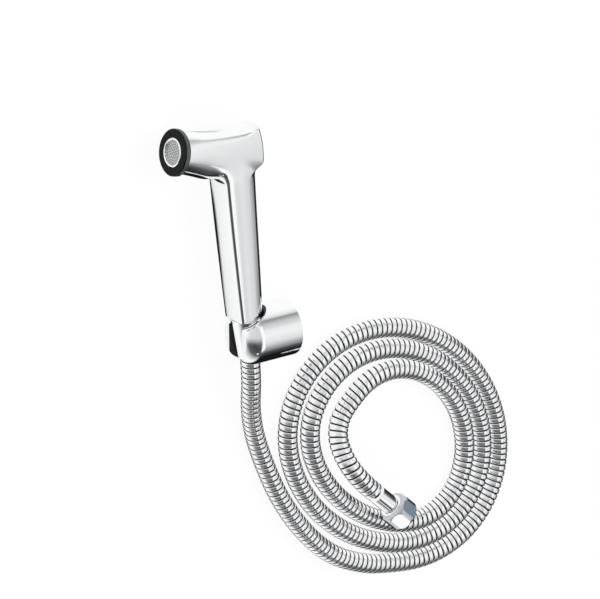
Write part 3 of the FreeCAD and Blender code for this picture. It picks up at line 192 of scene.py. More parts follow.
def hose_strip():
    """Bright strip, painted near black in the grooves between the ribs as shade."""
    material, tree, shader = fresh_material("hose_strip")
    # Painted shade: the crest height turns the colour near black in the grooves and to the strip's
    # own colour on the crests.
    crest = tree.nodes.new("ShaderNodeAttribute")
    crest.attribute_name = "crest"
    painted_groove_shade = tree.nodes.new("ShaderNodeValToRGB")
    painted_groove_shade.color_ramp.elements[0].position = 0.45
    painted_groove_shade.color_ramp.elements[0].color = (0.01, 0.01, 0.011, 1)
    painted_groove_shade.color_ramp.elements[1].position = 0.85
    painted_groove_shade.color_ramp.elements[1].color = bpy.context.scene.bidet_finish.hose
    tree.links.new(crest.outputs["Fac"], painted_groove_shade.inputs["Fac"])
    tree.links.new(painted_groove_shade.outputs["Color"], shader.inputs["Base Color"])
    shader.inputs["Metallic"].default_value = 0.9
    vary_roughness(tree, shader, grain(tree, 900.0), 0.06, 0.12)
    return material


def cradle_painted_shade():
    """Unpolished inside of the cradle, painted near black as the shade in its bore."""
    material, tree, shader = fresh_material("cradle_painted_shade", (0.012, 0.012, 0.013, 1.0))
    noise = grain(tree, 300.0)
    vary_roughness(tree, shader, noise, 0.45, 0.6)
    add_bump(tree, shader, noise.outputs["Fac"], 0.2, GRAIN_HEIGHT)
    return material


def collar_plastic(name, colour, sheen=0.12, dullness=0.42):
    """Moulded black plastic with a fine grain."""
    material, tree, shader = fresh_material(name, colour)
    shader.inputs["Specular IOR Level"].default_value = sheen
    vary_roughness(tree, shader, grain(tree, 700.0), dullness, dullness + 0.13)
    add_bump(tree, shader, grain(tree, 2600.0, 2.0).outputs["Fac"], 0.12, GRAIN_HEIGHT)
    return material


def seal_rubber():
    material, tree, shader = fresh_material("seal_rubber", (0.03, 0.03, 0.032, 1.0))
    vary_roughness(tree, shader, grain(tree, 400.0), 0.6, 0.75)
    add_bump(tree, shader, grain(tree, 1800.0, 2.0).outputs["Fac"], 0.2, GRAIN_HEIGHT)
    return material


def finish_node(node, material):
    """Gives a carried-over CAD node its finish."""
    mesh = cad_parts[node].data
    mesh.materials.clear()
    mesh.materials.append(material)


def finish_faces(node, material, chosen):
    """Gives the faces of a finished node that are chosen another finish."""
    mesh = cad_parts[node].data
    mesh.materials.append(material)
    for face in mesh.polygons:
        face.material_index = int(chosen(face))


# Places in the handset's own frame: forward to the nozzle is -x, up the grip is z.

GRIP_FOOT = Vector((-33.6, 15.3, 0.0)) * MM
GRIP_LEAN = math.radians(4.4)
NOZZLE_MIDDLE = Vector((-44.3, 0, 137.5)) * MM
NOZZLE_TILT = math.radians(17.6 - 90)
REAR_MIDDLE = Vector((18.1, 0, 127.7)) * MM
REAR_TILT = math.radians(180 - 99.2)
OUTWARD = Vector((0, 0, 1))

HANDSET = Matrix.Translation(GRIP_FOOT) @ Matrix.Rotation(GRIP_LEAN, 4, "Z") @ Matrix.Rotation(
    -math.pi / 2, 4, "X")
NOZZLE = HANDSET @ Matrix.Translation(NOZZLE_MIDDLE) @ Matrix.Rotation(NOZZLE_TILT, 4, "Y")
REAR = HANDSET @ Matrix.Translation(REAR_MIDDLE) @ Matrix.Rotation(REAR_TILT, 4, "Y")
GRIP_AXIS = (HANDSET.to_3x3() @ OUTWARD).normalized()


def add_object(name, data):
    """A new object in the scene."""
    item = bpy.data.objects.new(name, data)
    bpy.context.scene.collection.objects.link(item)
    return item


def new_mesh(name, points, faces):
    mesh = bpy.data.meshes.new(name)
    mesh.from_pydata([tuple(point) for point in points], [], faces)
    mesh.update()
    return mesh


def mesh_piece(name, points, faces, material):
    """A smooth mesh object that rides on the fixed body."""
    mesh = new_mesh(name, points, faces)
    mesh.shade_smooth()
    mesh.materials.append(material)
    piece = add_object(name, mesh)
    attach(piece, FIXED_BODY)
    return piece


def edit_mesh(mesh, change):
    """Opens a mesh, makes the change in it and writes it back."""
    opened = bmesh.new()
    opened.from_mesh(mesh)
    change(opened)
    opened.to_mesh(mesh)
    opened.free()


def face_outward(mesh):
    """Turns all of a mesh's faces outward."""
    edit_mesh(mesh, lambda opened: bmesh.ops.recalc_face_normals(opened, faces=opened.faces))


def join_doubles(mesh, distance):
    """Joins the points of a mesh that lie closer together than the distance."""
    edit_mesh(mesh, lambda opened: bmesh.ops.remove_doubles(
        opened, verts=opened.verts, dist=distance))


def apply_modifiers(piece):
    """Bakes a piece's modifiers into its mesh."""
    graph = bpy.context.evaluated_depsgraph_get()
    baked = bpy.data.meshes.new_from_object(
        piece.evaluated_get(graph), preserve_all_data_layers=True, depsgraph=graph)
    name = piece.data.name
    old = piece.data
    piece.modifiers.clear()
    piece.data = baked
    bpy.data.meshes.remove(old)
    baked.name = name


def cut_away(piece, cutters):
    """Takes the cutters out of the piece."""
    for cutter in cutters:
        cut = piece.modifiers.new("cut", "BOOLEAN")
        cut.operation = "DIFFERENCE"
        cut.solver = "EXACT"
        cut.object = cutter
    apply_modifiers(piece)
    for cutter in cutters:
        mesh = cutter.data
        bpy.data.objects.remove(cutter)
        bpy.data.meshes.remove(mesh)


FACE_AREA_WEIGHT = 80


def even_shading(piece, angle):
    """Smooth across gentle turns, crisp across edges, flat faces kept flat."""
    piece.data.shade_smooth()
    piece.data.set_sharp_from_angle(angle=math.radians(angle))
    weighted = piece.modifiers.new("weighted", "WEIGHTED_NORMAL")
    weighted.keep_sharp = True
    weighted.weight = FACE_AREA_WEIGHT
    apply_modifiers(piece)


def prism(name, outline, low, high, place):
    """A closed block over an outline, between two heights in a frame."""
    count = len(outline)
    points = [place @ Vector((x * MM, y * MM, level * MM)) for level in (low, high)
              for x, y in outline]
    faces = [tuple(reversed(range(count))), tuple(range(count, 2 * count))]
    for index in range(count):
        following = (index + 1) % count
        faces.append((index, following, count + following, count + index))
    return add_object(name, new_mesh(name, points, faces))


def circle_outline(radius, count=96):
    return [(radius * math.cos(2 * math.pi * step / count),
             radius * math.sin(2 * math.pi * step / count)) for step in range(count)]


def rounded_outline(half_length, half_width, corner, steps=10):
    outline = []
    for quarter, (side, end) in enumerate(((1, 1), (-1, 1), (-1, -1), (1, -1))):
        centre = (side * (half_length - corner), end * (half_width - corner))
        for step in range(steps + 1):
            angle = math.pi / 2 * (quarter + step / steps)
            outline.append((centre[0] + corner * math.cos(angle),
                            centre[1] + corner * math.sin(angle)))
    return outline


# Handset shell. Its sides are two plates that meet the keel, the front face, the top and the
# back in creases. Cross-sections follow the creases from the nose, round under the head and
# down the grip. Places are (x, z) in the handset's frame, in millimetres.
# A station: lower crease, middle of the surface below it, upper crease, middle of the surface
# beyond it, rounding of a corner of the upper crease

STATIONS = [
    ((-46.4, 130.7), (-48.7, 123.7), (-41.1, 147.6), (-39.9, 151.3), 0),
    ((-34.0, 125.5), (-36.4, 117.5), (-31.2, 145.8), (-30.4, 149.0), 0),
    ((-26.8, 122.1), (-28.4, 113.2), (-23.9, 144.3), (-23.5, 146.8), 0),
    ((-22.5, 119.8), (-23.8, 111.6), (-16.5, 142.9), (-16.2, 144.6), 0),
    ((-19.7, 117.9), (-20.7, 110.7), (-10.6, 141.8), (-10.4, 143.0), 0),
    ((-17.6, 116.0), (-18.2, 110.0), (-1.7, 140.3), (-1.6, 141.2), 0),
    ((-15.9, 113.8), (-16.3, 109.3), (6.0, 139.3), (6.0, 140.1), 0),
    ((-15.1, 112.2), (-15.4, 108.7), (12.0, 139.3), (12.0, 140.0), 0),
    ((-14.7, 110.6), (-14.9, 107.8), (18.3, 141.0), (18.2, 141.6), 3.2),
    ((-14.3, 109.1), (-14.5, 107.0), (19.6, 127.6), (19.7, 127.6), 0),
    ((-14.0, 107.5), (-14.2, 106.0), (19.3, 113.6), (19.4, 113.4), 1.8),
    ((-13.9, 106.3), (-14.2, 105.3), (12.6, 109.9), (16.9, 109.9), 0),
    ((-13.8, 104.9), (-14.2, 104.5), (7.7, 106.2), (15.0, 106.2), 2.0),
    ((-13.7, 99.0), (-14.2, 99.0), (7.36, 99.0), (14.74, 99.0), 0),
    ((-10.9, 3.0), (-11.4, 3.0), (4.79, 3.0), (11.7, 3.0), 0),
    ((-10.8, 0.5), (-11.3, 0.5), (4.71, 0.5), (11.6, 0.5), 0),
]
# Head: x, half width at the lower crease, at the upper crease, bulge between, heights of both
HEAD_PLATE = [
    (-47.0, 12.6, 9.8, 2.1, 131.0, 148.4),
    (-36.0, 11.9, 10.1, 1.7, 126.2, 146.8),
    (-26.0, 11.5, 10.3, 1.3, 121.7, 144.7),
    (-16.0, 11.4, 10.2, 1.1, 114.5, 142.8),
    (-4.0, 11.2, 10.1, 0.9, 112.0, 140.8),
    (8.0, 10.9, 10.0, 0.7, 112.0, 139.4),
    (20.0, 10.6, 10.0, 0.5, 112.0, 139.8),
]
HEAD_KNOTS = np.array([row[0] for row in HEAD_PLATE])
HEAD_VALUES = np.array([row[1:] for row in HEAD_PLATE])
# How far past the head plate's creases its bulge is followed, in shares of its height
HEAD_OVERRUN = (-0.15, 1.05)
# Grip: place of the front crease, half width there, place of the back joint, half width there,
# at the foot, and what each gains up to the grip's top
GRIP_PLATE = np.array([-11.06, 11.0, 4.71, 8.98])
GRIP_GAIN = np.array([-2.4, 1.0, 2.79, 0.68])
GRIP_TOP = 104.0
# How much the grip's plate bulges, and how soon it levels off past the back joint, as shares
# of the plate's width
GRIP_CROWN, GRIP_RUNOUT = 0.268, 0.3
# The grip's plate turns into the head's between these heights, and lower towards the rear.
SHOULDER, HEAD_FOOT = 105.0, 125.0
SHOULDER_DROP, HEAD_FOOT_DROP = 6.0, 9.0
REAR_START, REAR_END = -4.0, 19.0
# How much softer than the grip's creases the head's lower, upper and rear ones are, and where
# they get so: heights for the first two, places for the rear
LOWER_EASE, UPPER_EASE, REAR_EASE = 0.8, 1.1, 0.4
LOWER_EASE_AT, UPPER_EASE_AT, REAR_EASE_AT = (104, 116), (108, 118), (9, 15)
# A rounded crease takes no more than this share of a side, or of half a strip.
SIDE_LIMIT, STRIP_LIMIT = 0.3, 0.4
SIDE_STEPS, UPPER_STEPS, LOWER_STEPS, EDGE_STEPS, CORNER_STEPS = 26, 24, 18, 6, 11
# Share of the upper and of the lower crease in the spacing of the cross-sections
UPPER_SHARE, LOWER_SHARE = 0.8, 0.2
# Two stops along the shell are one when they are closer than this, and no arc is flatter.
SAME_STOP, FLATTEST_ARC = 1e-9, 1e-3
# Where a station's row of numbers holds its places
LOW, LOW_MIDDLE, HIGH, HIGH_MIDDLE = slice(0, 2), slice(2, 4), slice(4, 6), slice(6, 8)
UPPER = slice(4, 8)
# Rounding of the grip's foot: how far in and how far down, in millimetres
FOOT_EDGE = ((0.1, 0.3), (0.3, 0.45), (0.6, 0.5))
# Cutters for the button's pocket and the nozzle's socket, in millimetres, and how far they
# stand out of the shell
POCKET_HALF_LENGTH, POCKET_HALF_WIDTH, POCKET_CORNER, POCKET_DEPTH = 9.75, 8.75, 4.3, 8.5
SOCKET_RADIUS, SOCKET_DEPTH = 12.0, 7.5
CUTTER_HEIGHT = 3
# Edges sharper than this, in degrees, stay crisp.
CRISP_ANGLE = 32


def ramp(value, low, high):
    """0 at low, 1 at high, with a soft start and end."""
    share = min(max((value - low) / (high - low), 0), 1)
    return share * share * (3 - 2 * share)


def hermite(knots, values, at, breaks=()):
    """Smooth curve through the values that may turn sharply at the breaks."""
    last = len(knots) - 1
    span = min(max(int(np.searchsorted(knots, at, side="right")) - 1, 0), last - 1)
    width = knots[span + 1] - knots[span]
    share = (at - knots[span]) / width
    slope_here = (values[span + 1] - values[span]) / width

    def slope(index):
        if index in breaks or index in (0, last):
            return slope_here
        left, right = knots[index] - knots[index - 1], knots[index + 1] - knots[index]
        before = (values[index] - values[index - 1]) / left
        after = (values[index + 1] - values[index]) / right
        return (before * right + after * left) / (left + right)

    first, second = slope(span), slope(span + 1)
    a, b = values[span], values[span + 1]
    t2, t3 = share * share, share ** 3
    return ((2 * t3 - 3 * t2 + 1) * a + (t3 - 2 * t2 + share) * width * first
            + (3 * t2 - 2 * t3) * b + (t3 - t2) * width * second)


def bend(start, corner, end, share):
    """A place on the curve that rounds a corner off."""
    return start * (1 - share) ** 2 + corner * 2 * share * (1 - share) + end * share ** 2


def grip_reach(x, z):
    """Half the grip's width at a place on its side."""
    up = min(max(z / GRIP_TOP, 0), 1)
    front, half_front, joint, half_joint = GRIP_PLATE + GRIP_GAIN * up
    width = joint - front
    share = (x - front) / width
    if share > 1:
        share = 1 + GRIP_RUNOUT * (1 - math.exp(-(share - 1) / GRIP_RUNOUT))
    curve = -GRIP_CROWN * width
    return half_front + (half_joint - half_front - curve) * share + curve * share * share


def head_reach(x, z):
    """Half the head's width at a place on its side."""
    inside = min(max(x, HEAD_KNOTS[0]), HEAD_KNOTS[-1])
    low_half, high_half, bulge, low, high = hermite(HEAD_KNOTS, HEAD_VALUES, inside)
    share = min(max((z - low) / (high - low), HEAD_OVERRUN[0]), HEAD_OVERRUN[1])
    return low_half + (high_half - low_half) * share + bulge * 4 * share * (1 - share)


def plate_reach(x, z):
    """How far a side plate stands out from the middle, at a place on the side."""
    rear = ramp(x, REAR_START, REAR_END)
    way = ramp(z, SHOULDER - SHOULDER_DROP * rear, HEAD_FOOT - HEAD_FOOT_DROP * rear)
    return grip_reach(x, z) * (1 - way) + head_reach(x, z) * way


def shell_sections(step):
    """Closely spaced sections, rounded where the upper crease turns a corner."""
    values = np.array([np.concatenate(station[:4]) for station in STATIONS])
    corners = {index: station[4] for index, station in enumerate(STATIONS) if station[4]}
    moves = [UPPER_SHARE * np.linalg.norm(after[HIGH] - before[HIGH])
             + LOWER_SHARE * np.linalg.norm(after[LOW] - before[LOW])
             for before, after in zip(values, values[1:])]
    knots = np.concatenate([[0], np.cumsum(moves)])

    def section(at):
        smooth = hermite(knots, values, at)
        smooth[UPPER] = hermite(knots, values, at, corners)[UPPER]
        return smooth

    stops = []
    for index in range(len(knots) - 1):
        count = max(int(math.ceil((knots[index + 1] - knots[index]) / step)), 2)
        stops += list(np.linspace(knots[index], knots[index + 1], count, endpoint=False))
    stops.append(knots[-1])
    sections = []
    for stop in stops:
        near = [index for index, rounding in corners.items()
                if abs(knots[index] - stop) < rounding * 0.999]
        if not near:
            sections.append(section(stop))
        elif abs(knots[near[0]] - stop) < SAME_STOP:
            at, rounding = knots[near[0]], corners[near[0]]
            before, here, after = section(at - rounding), section(at), section(at + rounding)
            for share in np.linspace(0, 1, CORNER_STEPS):
                rounded = section(at - rounding + 2 * rounding * share)
                rounded[UPPER] = bend(before, here, after, share)[UPPER]
                sections.append(rounded)
    return sections


def arc_share(rise, half, steps, trim):
    """Positions along a shallow arc: share of the half chord, share of the rise."""
    half_angle = max(2 * math.atan2(rise, half), FLATTEST_ARC)
    angles = np.linspace(-half_angle * (1 - trim), half_angle * (1 - trim), steps)
    return (np.sin(angles) / math.sin(half_angle),
            (np.cos(angles) - math.cos(half_angle)) / (1 - math.cos(half_angle)))


def section_loop(values, edge, inset=0.0):
    """Points round one section, in the handset's frame in millimetres."""
    low, low_middle = values[LOW], values[LOW_MIDDLE]
    high, high_middle = values[HIGH], values[HIGH_MIDDLE]
    low_edge = edge * (1 + LOWER_EASE * ramp(low[1], *LOWER_EASE_AT))
    rear = ramp(high[0], *REAR_EASE_AT)
    upper_ease = UPPER_EASE * (1 - rear) + REAR_EASE * rear
    high_edge = edge * (1 + ramp(high[1], *UPPER_EASE_AT) * upper_ease)
    chord = float(np.linalg.norm(high - low))
    low_half = plate_reach(*low) - inset
    high_half = plate_reach(*high) - inset

    def side(sign):
        shares = np.linspace(min(low_edge / chord, SIDE_LIMIT),
                             1 - min(high_edge / chord, SIDE_LIMIT), SIDE_STEPS)
        places = [low + (high - low) * share for share in shares]
        return np.array([(x, sign * (plate_reach(x, z) - inset), z) for x, z in places])

    def strip(crease, half, middle, steps, edge):
        reach = float(np.linalg.norm(middle - crease))
        across, rise = arc_share(reach, half, steps, min(edge / half, STRIP_LIMIT))
        place = crease[None] + (middle - crease)[None] * rise[:, None]
        return np.column_stack([place[:, 0], -across * half, place[:, 1]])

    sides = [side(1), strip(high, high_half, high_middle, UPPER_STEPS, high_edge),
             side(-1)[::-1], strip(low, low_half, low_middle, LOWER_STEPS, low_edge)[::-1]]
    corners = [(high, high_half), (high, -high_half), (low, -low_half), (low, low_half)]
    loop = []
    for index, points in enumerate(sides):
        loop += list(points)
        (x, z), y = corners[index]
        corner = np.array([x, y, z])
        start, end = points[-1], sides[(index + 1) % 4][0]
        for part in range(1, EDGE_STEPS + 1):
            loop.append(bend(start, corner, end, part / (EDGE_STEPS + 1)))
    return loop


def skin_faces(rows, count):
    """Faces over so many loops of points, closed at both ends."""
    total = rows * count
    faces = [tuple(range(count)), tuple(reversed(range(total - count, total)))]
    for row in range(rows - 1):
        for column in range(count):
            following = (column + 1) % count
            faces.append((row * count + column, (row + 1) * count + column,
                          (row + 1) * count + following, row * count + following))
    return faces


class BIDET_OT_handset(bpy.types.Operator):
    """Makes the chromed shell of the handset"""
    bl_idname = "bidet.handset"
    bl_label = "Handset shell"

    def execute(self, context):
        settings = context.scene.bidet_handset
        edge = settings.edge / MM
        sections = shell_sections(settings.step / MM)
        loops = [section_loop(section, edge) for section in sections]
        for inset, drop in FOOT_EDGE:
            foot = sections[-1] + np.array([inset, -drop] * 2 + [-inset, -drop] * 2)
            loops.append(section_loop(foot, edge, inset))
        points = [HANDSET @ Vector((x * MM, y * MM, z * MM)) for loop in loops for x, y, z in loop]
        faces = skin_faces(len(loops), len(loops[0]))
        shell = mesh_piece("handset_shell", points, faces, chrome_plating())
        face_outward(shell.data)
        pocket = rounded_outline(POCKET_HALF_LENGTH, POCKET_HALF_WIDTH, POCKET_CORNER)
        cut_away(shell, [
            prism("button_pocket", pocket, -POCKET_DEPTH, CUTTER_HEIGHT, REAR),
            prism("nozzle_socket", circle_outline(SOCKET_RADIUS), -SOCKET_DEPTH, CUTTER_HEIGHT,
                  NOZZLE)])
        even_shading(shell, CRISP_ANGLE)
        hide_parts("handset_body")
        return {"FINISHED"}


# Hose. Its route repeats the solids' route; the coil's turns come from one formula.

LEAD_POINTS = [
    (-31.74, -8.83, 0.0),
    (-29.98, -31.76, 0.0),
    (-26.9, -56.5, -7.4),
    (-20.4, -81.0, -12.7),
    (-11.5, -106.5, -13.0),
    (0.5, -134.0, -13.0),
    (19.0, -162.0, -13.0),
    (42.0, -185.5, -13.0),
    (70.13, -199.12, -13.0),
]
TAIL_POINTS = [
    (50.38, -85.22, -13.0),
    (45.8, -102.2, -7.4),
    (52.13, -123.59, 4.73),
    (68.6, -139.6, 5.9),
]
# Centre x, centre y, half width, half height of each turn, outer turn first
TURNS = [
    (95.2, -115.2, 74.4, 82.5),
    (97.6, -116.3, 61.1, 68.4),
    (103.6, -117.7, 44.0, 54.0),
]
# The coil's ovals are turned and stretched: which way their width and their height run
ACROSS = Vector((1.203, -0.278, 0))
UPWARD = Vector((0.018, 1.071, 0))
# Share of a turn after which it steps in to the next one
STEP_START = 0.70
LAST_TURN = 2.64
HOSE_HEIGHT = -13.0
POINTS_A_TURN = 25
ROUTE_STEPS = 8
# Points of the route that lie closer together than this, in metres, are one.
ROUTE_GAP = 1e-7


def coil_point(turn):
    """Centre line of the coil in millimetres, after so many turns from its bottom."""
    last = len(TURNS) - 1
    whole = min(int(turn), last)
    part = turn - whole
    share = ramp(part, STEP_START, 1)
    x, y, half_width, half_height = (
        here + (after - here) * share
        for here, after in zip(TURNS[whole], TURNS[min(whole + 1, last)]))
    angle = 2 * math.pi * (part - 0.25)
    return (Vector((x, y, HOSE_HEIGHT)) + ACROSS * (half_width * math.cos(angle))
            + UPWARD * (half_height * math.sin(angle)))


def hose_route():
    """Points of the hose's centre line, from the grip to the far ferrule."""
    points = [Vector(point) for point in LEAD_POINTS]
    count = int(round(LAST_TURN * POINTS_A_TURN))
    points += [coil_point(LAST_TURN * step / count) for step in range(count + 1)]
    points += [Vector(point) for point in TAIL_POINTS]
    return [point * MM for point in points]


def smooth_line(points):
    """Closely spaced points along the route's own smooth curve."""
    curve = bpy.data.curves.new("hose_route", "CURVE")
    curve.dimensions = "3D"
    curve.resolution_u = ROUTE_STEPS
    spline = curve.splines.new("NURBS")
    spline.points.add(len(points) - 1)
    for place, point in zip(spline.points, points):
        place.co = (*point, 1.0)
    spline.order_u = 3
    spline.use_endpoint_u = True
    route = add_object("hose_route", curve)
    graph = bpy.context.evaluated_depsgraph_get()
    mesh = bpy.data.meshes.new_from_object(route.evaluated_get(graph))
    line = np.array([tuple(vertex.co) for vertex in mesh.vertices])
    bpy.data.objects.remove(route)
    bpy.data.curves.remove(curve)
    bpy.data.meshes.remove(mesh)
    keep = np.concatenate([[True], np.linalg.norm(np.diff(line, axis=0), axis=1) > ROUTE_GAP])
    return line[keep]


# One rib: shares of the pitch along the hose, and of the groove's depth
RIB_PROFILE = [(0.0, 0.0), (0.1, 0.45), (0.16, 0.96), (0.24, 1.0), (0.76, 1.0), (0.84, 0.96),
               (0.9, 0.45)]
# Room for the helix to end in, as a share of the pitch
LAST_RIB = 0.9
AROUND = 26
# How far ahead and behind the hose's direction is taken
AIM_STEP = 1.0 * MM


def unit(vectors):
    return vectors / np.linalg.norm(vectors, axis=1)[:, None]


def wound_strip(line, radius, depth, wanted_pitch):
    """Points of the ribbed strip round the line, their heights on the rib, and the ribs' number."""
    along = np.concatenate([[0], np.cumsum(np.linalg.norm(np.diff(line, axis=0), axis=1))])
    total = float(along[-1])
    ribs = int(total / wanted_pitch)
    pitch = total / (ribs + LAST_RIB)

    def on_line(distance):
        return np.column_stack([np.interp(distance, along, line[:, axis]) for axis in range(3)])

    distance, height, turn = np.array([
        ((rib + share + step / AROUND) * pitch, height, step)
        for rib in range(ribs) for share, height in RIB_PROFILE for step in range(AROUND)]).T.copy()
    turn = turn * 2 * math.pi / AROUND
    ahead = unit(on_line(np.minimum(distance + AIM_STEP, total))
                 - on_line(np.maximum(distance - AIM_STEP, 0)))
    sideways = unit(np.cross(ahead, np.array([0.0, 0.0, 1.0])))
    upward = np.cross(sideways, ahead)
    reach = radius - depth * (1 - height)
    points = (on_line(distance) + sideways * (reach * np.cos(turn))[:, None]
              + upward * (reach * np.sin(turn))[:, None])
    return points, height, ribs


def strip_faces(ribs):
    """Faces along each row of the strip, and over its seam to the rib's next turn."""
    rings = len(RIB_PROFILE)
    rows = ribs * rings
    faces = []
    for row in range(rows - 1):
        for step in range(AROUND - 1):
            first = row * AROUND + step
            faces.append((first, first + 1, first + AROUND + 1, first + AROUND))
    for row in range(rows - rings - 1):
        first = row * AROUND + AROUND - 1
        second = (row + rings) * AROUND
        faces.append((first, second, second + AROUND, first + AROUND))
    return faces


class BIDET_OT_hose(bpy.types.Operator):
    """Winds the ribbed steel hose along its route"""
    bl_idname = "bidet.hose"
    bl_label = "Ribbed hose"

    def execute(self, context):
        settings = context.scene.bidet_hose
        line = smooth_line(hose_route())
        points, height, ribs = wound_strip(
            line, settings.diameter / 2, settings.rib_depth, settings.rib_pitch)
        hose = mesh_piece("hose", points, strip_faces(ribs), hose_strip())
        # The crest height also drives the strip's painted groove shade.
        crest = hose.data.attributes.new("crest", "FLOAT", "POINT")
        crest.data.foreach_set("value", height)
        face_outward(hose.data)
        hose.visible_glossy = False
        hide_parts("hose_lead", "hose_coil", "hose_tail")
        return {"FINISHED"}


# A face of the collar that leans further than this from the nozzle's axis belongs to its side,
# which gets a glossier copy of the black, painted lighter for the light it catches.
COLLAR_TURN = 0.5


class BIDET_OT_nozzle(bpy.types.Operator):
    """Finishes the black collar, its bezel, the spray plate and what is behind them"""
    bl_idname = "bidet.nozzle"
    bl_label = "Nozzle"

    def execute(self, context):
        colours = context.scene.bidet_finish
        black = collar_plastic("collar_face", colours.collar)
        glossy_painted_light_side = collar_plastic("collar_side_painted_light", colours.collar_side_painted_light, sheen=0.8, dullness=0.18)
        axis = NOZZLE.to_3x3() @ OUTWARD
        finish_node("nozzle_ring", black)
        # The side faces get the glossier, lighter copy: partly real gloss, partly painted light.
        finish_faces("nozzle_ring", glossy_painted_light_side, lambda face: abs(face.normal.dot(axis)) < COLLAR_TURN)
        finish_node("spray_insert", black)
        finish_node("nozzle_bezel", chrome_plating("bezel_plating"))
        finish_node("spray_plate", plate_steel())
        finish_node("nozzle_gasket", seal_rubber())
        return {"FINISHED"}


SAME_POINT = 0.001 * MM


class BIDET_OT_valve(bpy.types.Operator):
    """Finishes the thumb button and the valve behind it"""
    bl_idname = "bidet.valve"
    bl_label = "Button and valve"

    def execute(self, context):
        finish_node("push_button", chrome_plating("button_plating"))
        brass, rubber = turned_brass(), seal_rubber()
        for node in ("valve_stem", "valve_bonnet"):
            finish_node(node, brass)
        finish_node("inlet_tail", bright_steel())
        for node in ("valve_seal", "stem_ring", "bonnet_ring", "grip_washer"):
            finish_node(node, rubber)
        self.make_spring()
        return {"FINISHED"}

    def make_spring(self):
        """The valve spring, copied from its CAD node with its doubled points joined."""
        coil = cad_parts["valve_spring"]
        points = [coil.matrix_world @ vertex.co for vertex in coil.data.vertices]
        faces = [tuple(face.vertices) for face in coil.data.polygons]
        spring = mesh_piece("spring_coil", points, faces, bright_steel())
        join_doubles(spring.data, SAME_POINT)
        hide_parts("valve_spring")
        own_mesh(spring)


# The coupling nut's three pairs of flats and its ends; how close to them a face counts as one
FLATS = (Vector((0.32, 0.39, 0.86)), Vector((-0.38, -0.33, 0.86)), Vector((-0.7, -0.72, 0.0)),
         Vector((-0.72, 0.7, -0.05)))
FLAT_TURN = 0.985


class BIDET_OT_couplings(bpy.types.Operator):
    """Finishes the cone nut, the ferrules and the coupling nut"""
    bl_idname = "bidet.couplings"
    bl_label = "Hose couplings"

    def execute(self, context):
        plating = chrome_plating("coupling_plating")
        for node in ("cone_nut", "grip_ferrule", "far_ferrule", "far_nut"):
            finish_node(node, plating)
        # The nut's faces off its flats and ends get the darker chrome: painted shade on its rounded
        # corners.
        shade = chrome_plating("nut_corner_painted_shade", context.scene.bidet_finish.shade)
        finish_faces("far_nut", shade, lambda face: all(
            abs(face.normal.dot(flat)) < FLAT_TURN for flat in FLATS))
        finish_node("far_stem", bright_steel())
        finish_node("far_washer", seal_rubber())
        return {"FINISHED"}


# The cradle's inside, painted near black as shade: how far from the grip's axis, and how squarely
# its faces look at it
CRADLE_REACH = 14.5 * MM
CRADLE_TURN = 0.2


def in_cradle(face):
    """Whether a face of the holder lines its cradle."""
    inward = GRIP_FOOT - face.center
    inward -= GRIP_AXIS * inward.dot(GRIP_AXIS)
    return inward.length < CRADLE_REACH and face.normal.dot(inward.normalized()) > CRADLE_TURN


class BIDET_OT_holder(bpy.types.Operator):
    """Finishes the wall holder"""
    bl_idname = "bidet.holder"
    bl_label = "Wall holder"

    def execute(self, context):
        finish_node("holder_body", chrome_plating("holder_plating"))
        # The faces that line the cradle get painted shade.
        finish_faces("holder_body", cradle_painted_shade(), in_cradle)
        steel = bright_steel()
        finish_node("wall_plate", steel)
        finish_node("lock_screw", steel)
        return {"FINISHED"}


# Studio. The set lies on a pale floor. Only reflections see the dark flags and the two cards,
# which the world shows by direction.

FLOOR_LEVEL = -20.0 * MM
# Which way the picture's right and top point, and what lies in its middle
CAMERA_RIGHT = Vector((0.828, -0.014, 0.559))
CAMERA_UP = Vector((0.215, 0.930, -0.296))
PICTURE_CENTRE = (9.0 * MM, 18.4 * MM)
METRES_A_PIXEL = 0.693 * MM
PICTURE_WIDTH = 600
SENSOR_WIDTH = 36.0
VIEW_REACH = 100.0
# Name, place and power of each lamp; they all have one size and aim at the middle.
LAMPS = (("key_light", (0.9, 0.5, 1.5), 9.0), ("fill_light", (-0.8, -0.7, 1.2), 3.0))
LAMP_SIZE = 0.8
FLOOR_REACH = 6.0


# Grey level that polished metal sees, by the direction it looks in.
# Round the x axis, as a share of the turn from straight down over the coil's side.
LENGTHWISE_FLAGS = [
    (0.000, 1.00), (0.050, 1.00), (0.068, 0.010), (0.263, 0.010), (0.300, 0.04), (0.331, 0.10),
    (0.346, 0.24), (0.374, 0.37), (0.399, 0.53), (0.424, 0.73), (0.448, 0.79), (0.482, 0.86),
    (0.516, 0.91), (0.570, 0.87), (0.592, 0.76), (0.613, 0.67), (0.635, 0.60), (0.655, 0.49),
    (0.680, 0.31), (0.691, 0.38), (0.705, 0.69), (0.722, 0.84), (0.745, 0.92), (0.769, 1.00),
    (1.000, 1.00),
]
# By height, towards the nozzle's side and towards the wall's side.
FRONT_FLAGS = [
    (0.000, 0.01), (0.082, 0.01), (0.091, 0.85), (0.113, 0.93), (0.160, 0.98), (0.400, 1.00),
    (0.550, 0.60), (0.690, 0.12), (0.900, 0.06), (1.000, 0.15),
]
HIGH_FRONT_FLAGS = [(0.000, 0.95), (0.600, 1.00), (0.800, 0.72), (1.000, 0.66)]
BACK_FLAGS = [
    (0.000, 0.01), (0.540, 0.03), (0.570, 0.12), (0.600, 0.30), (0.630, 0.50), (0.660, 0.62),
    (0.706, 0.70), (0.776, 0.76), (0.840, 0.83), (1.000, 0.95),
]
HIGH_BACK_FLAGS = [(0.000, 0.01), (0.650, 0.03), (0.740, 0.50), (0.820, 0.85), (1.000, 0.90)]
LOW_FRONT_FLAG = 0.015
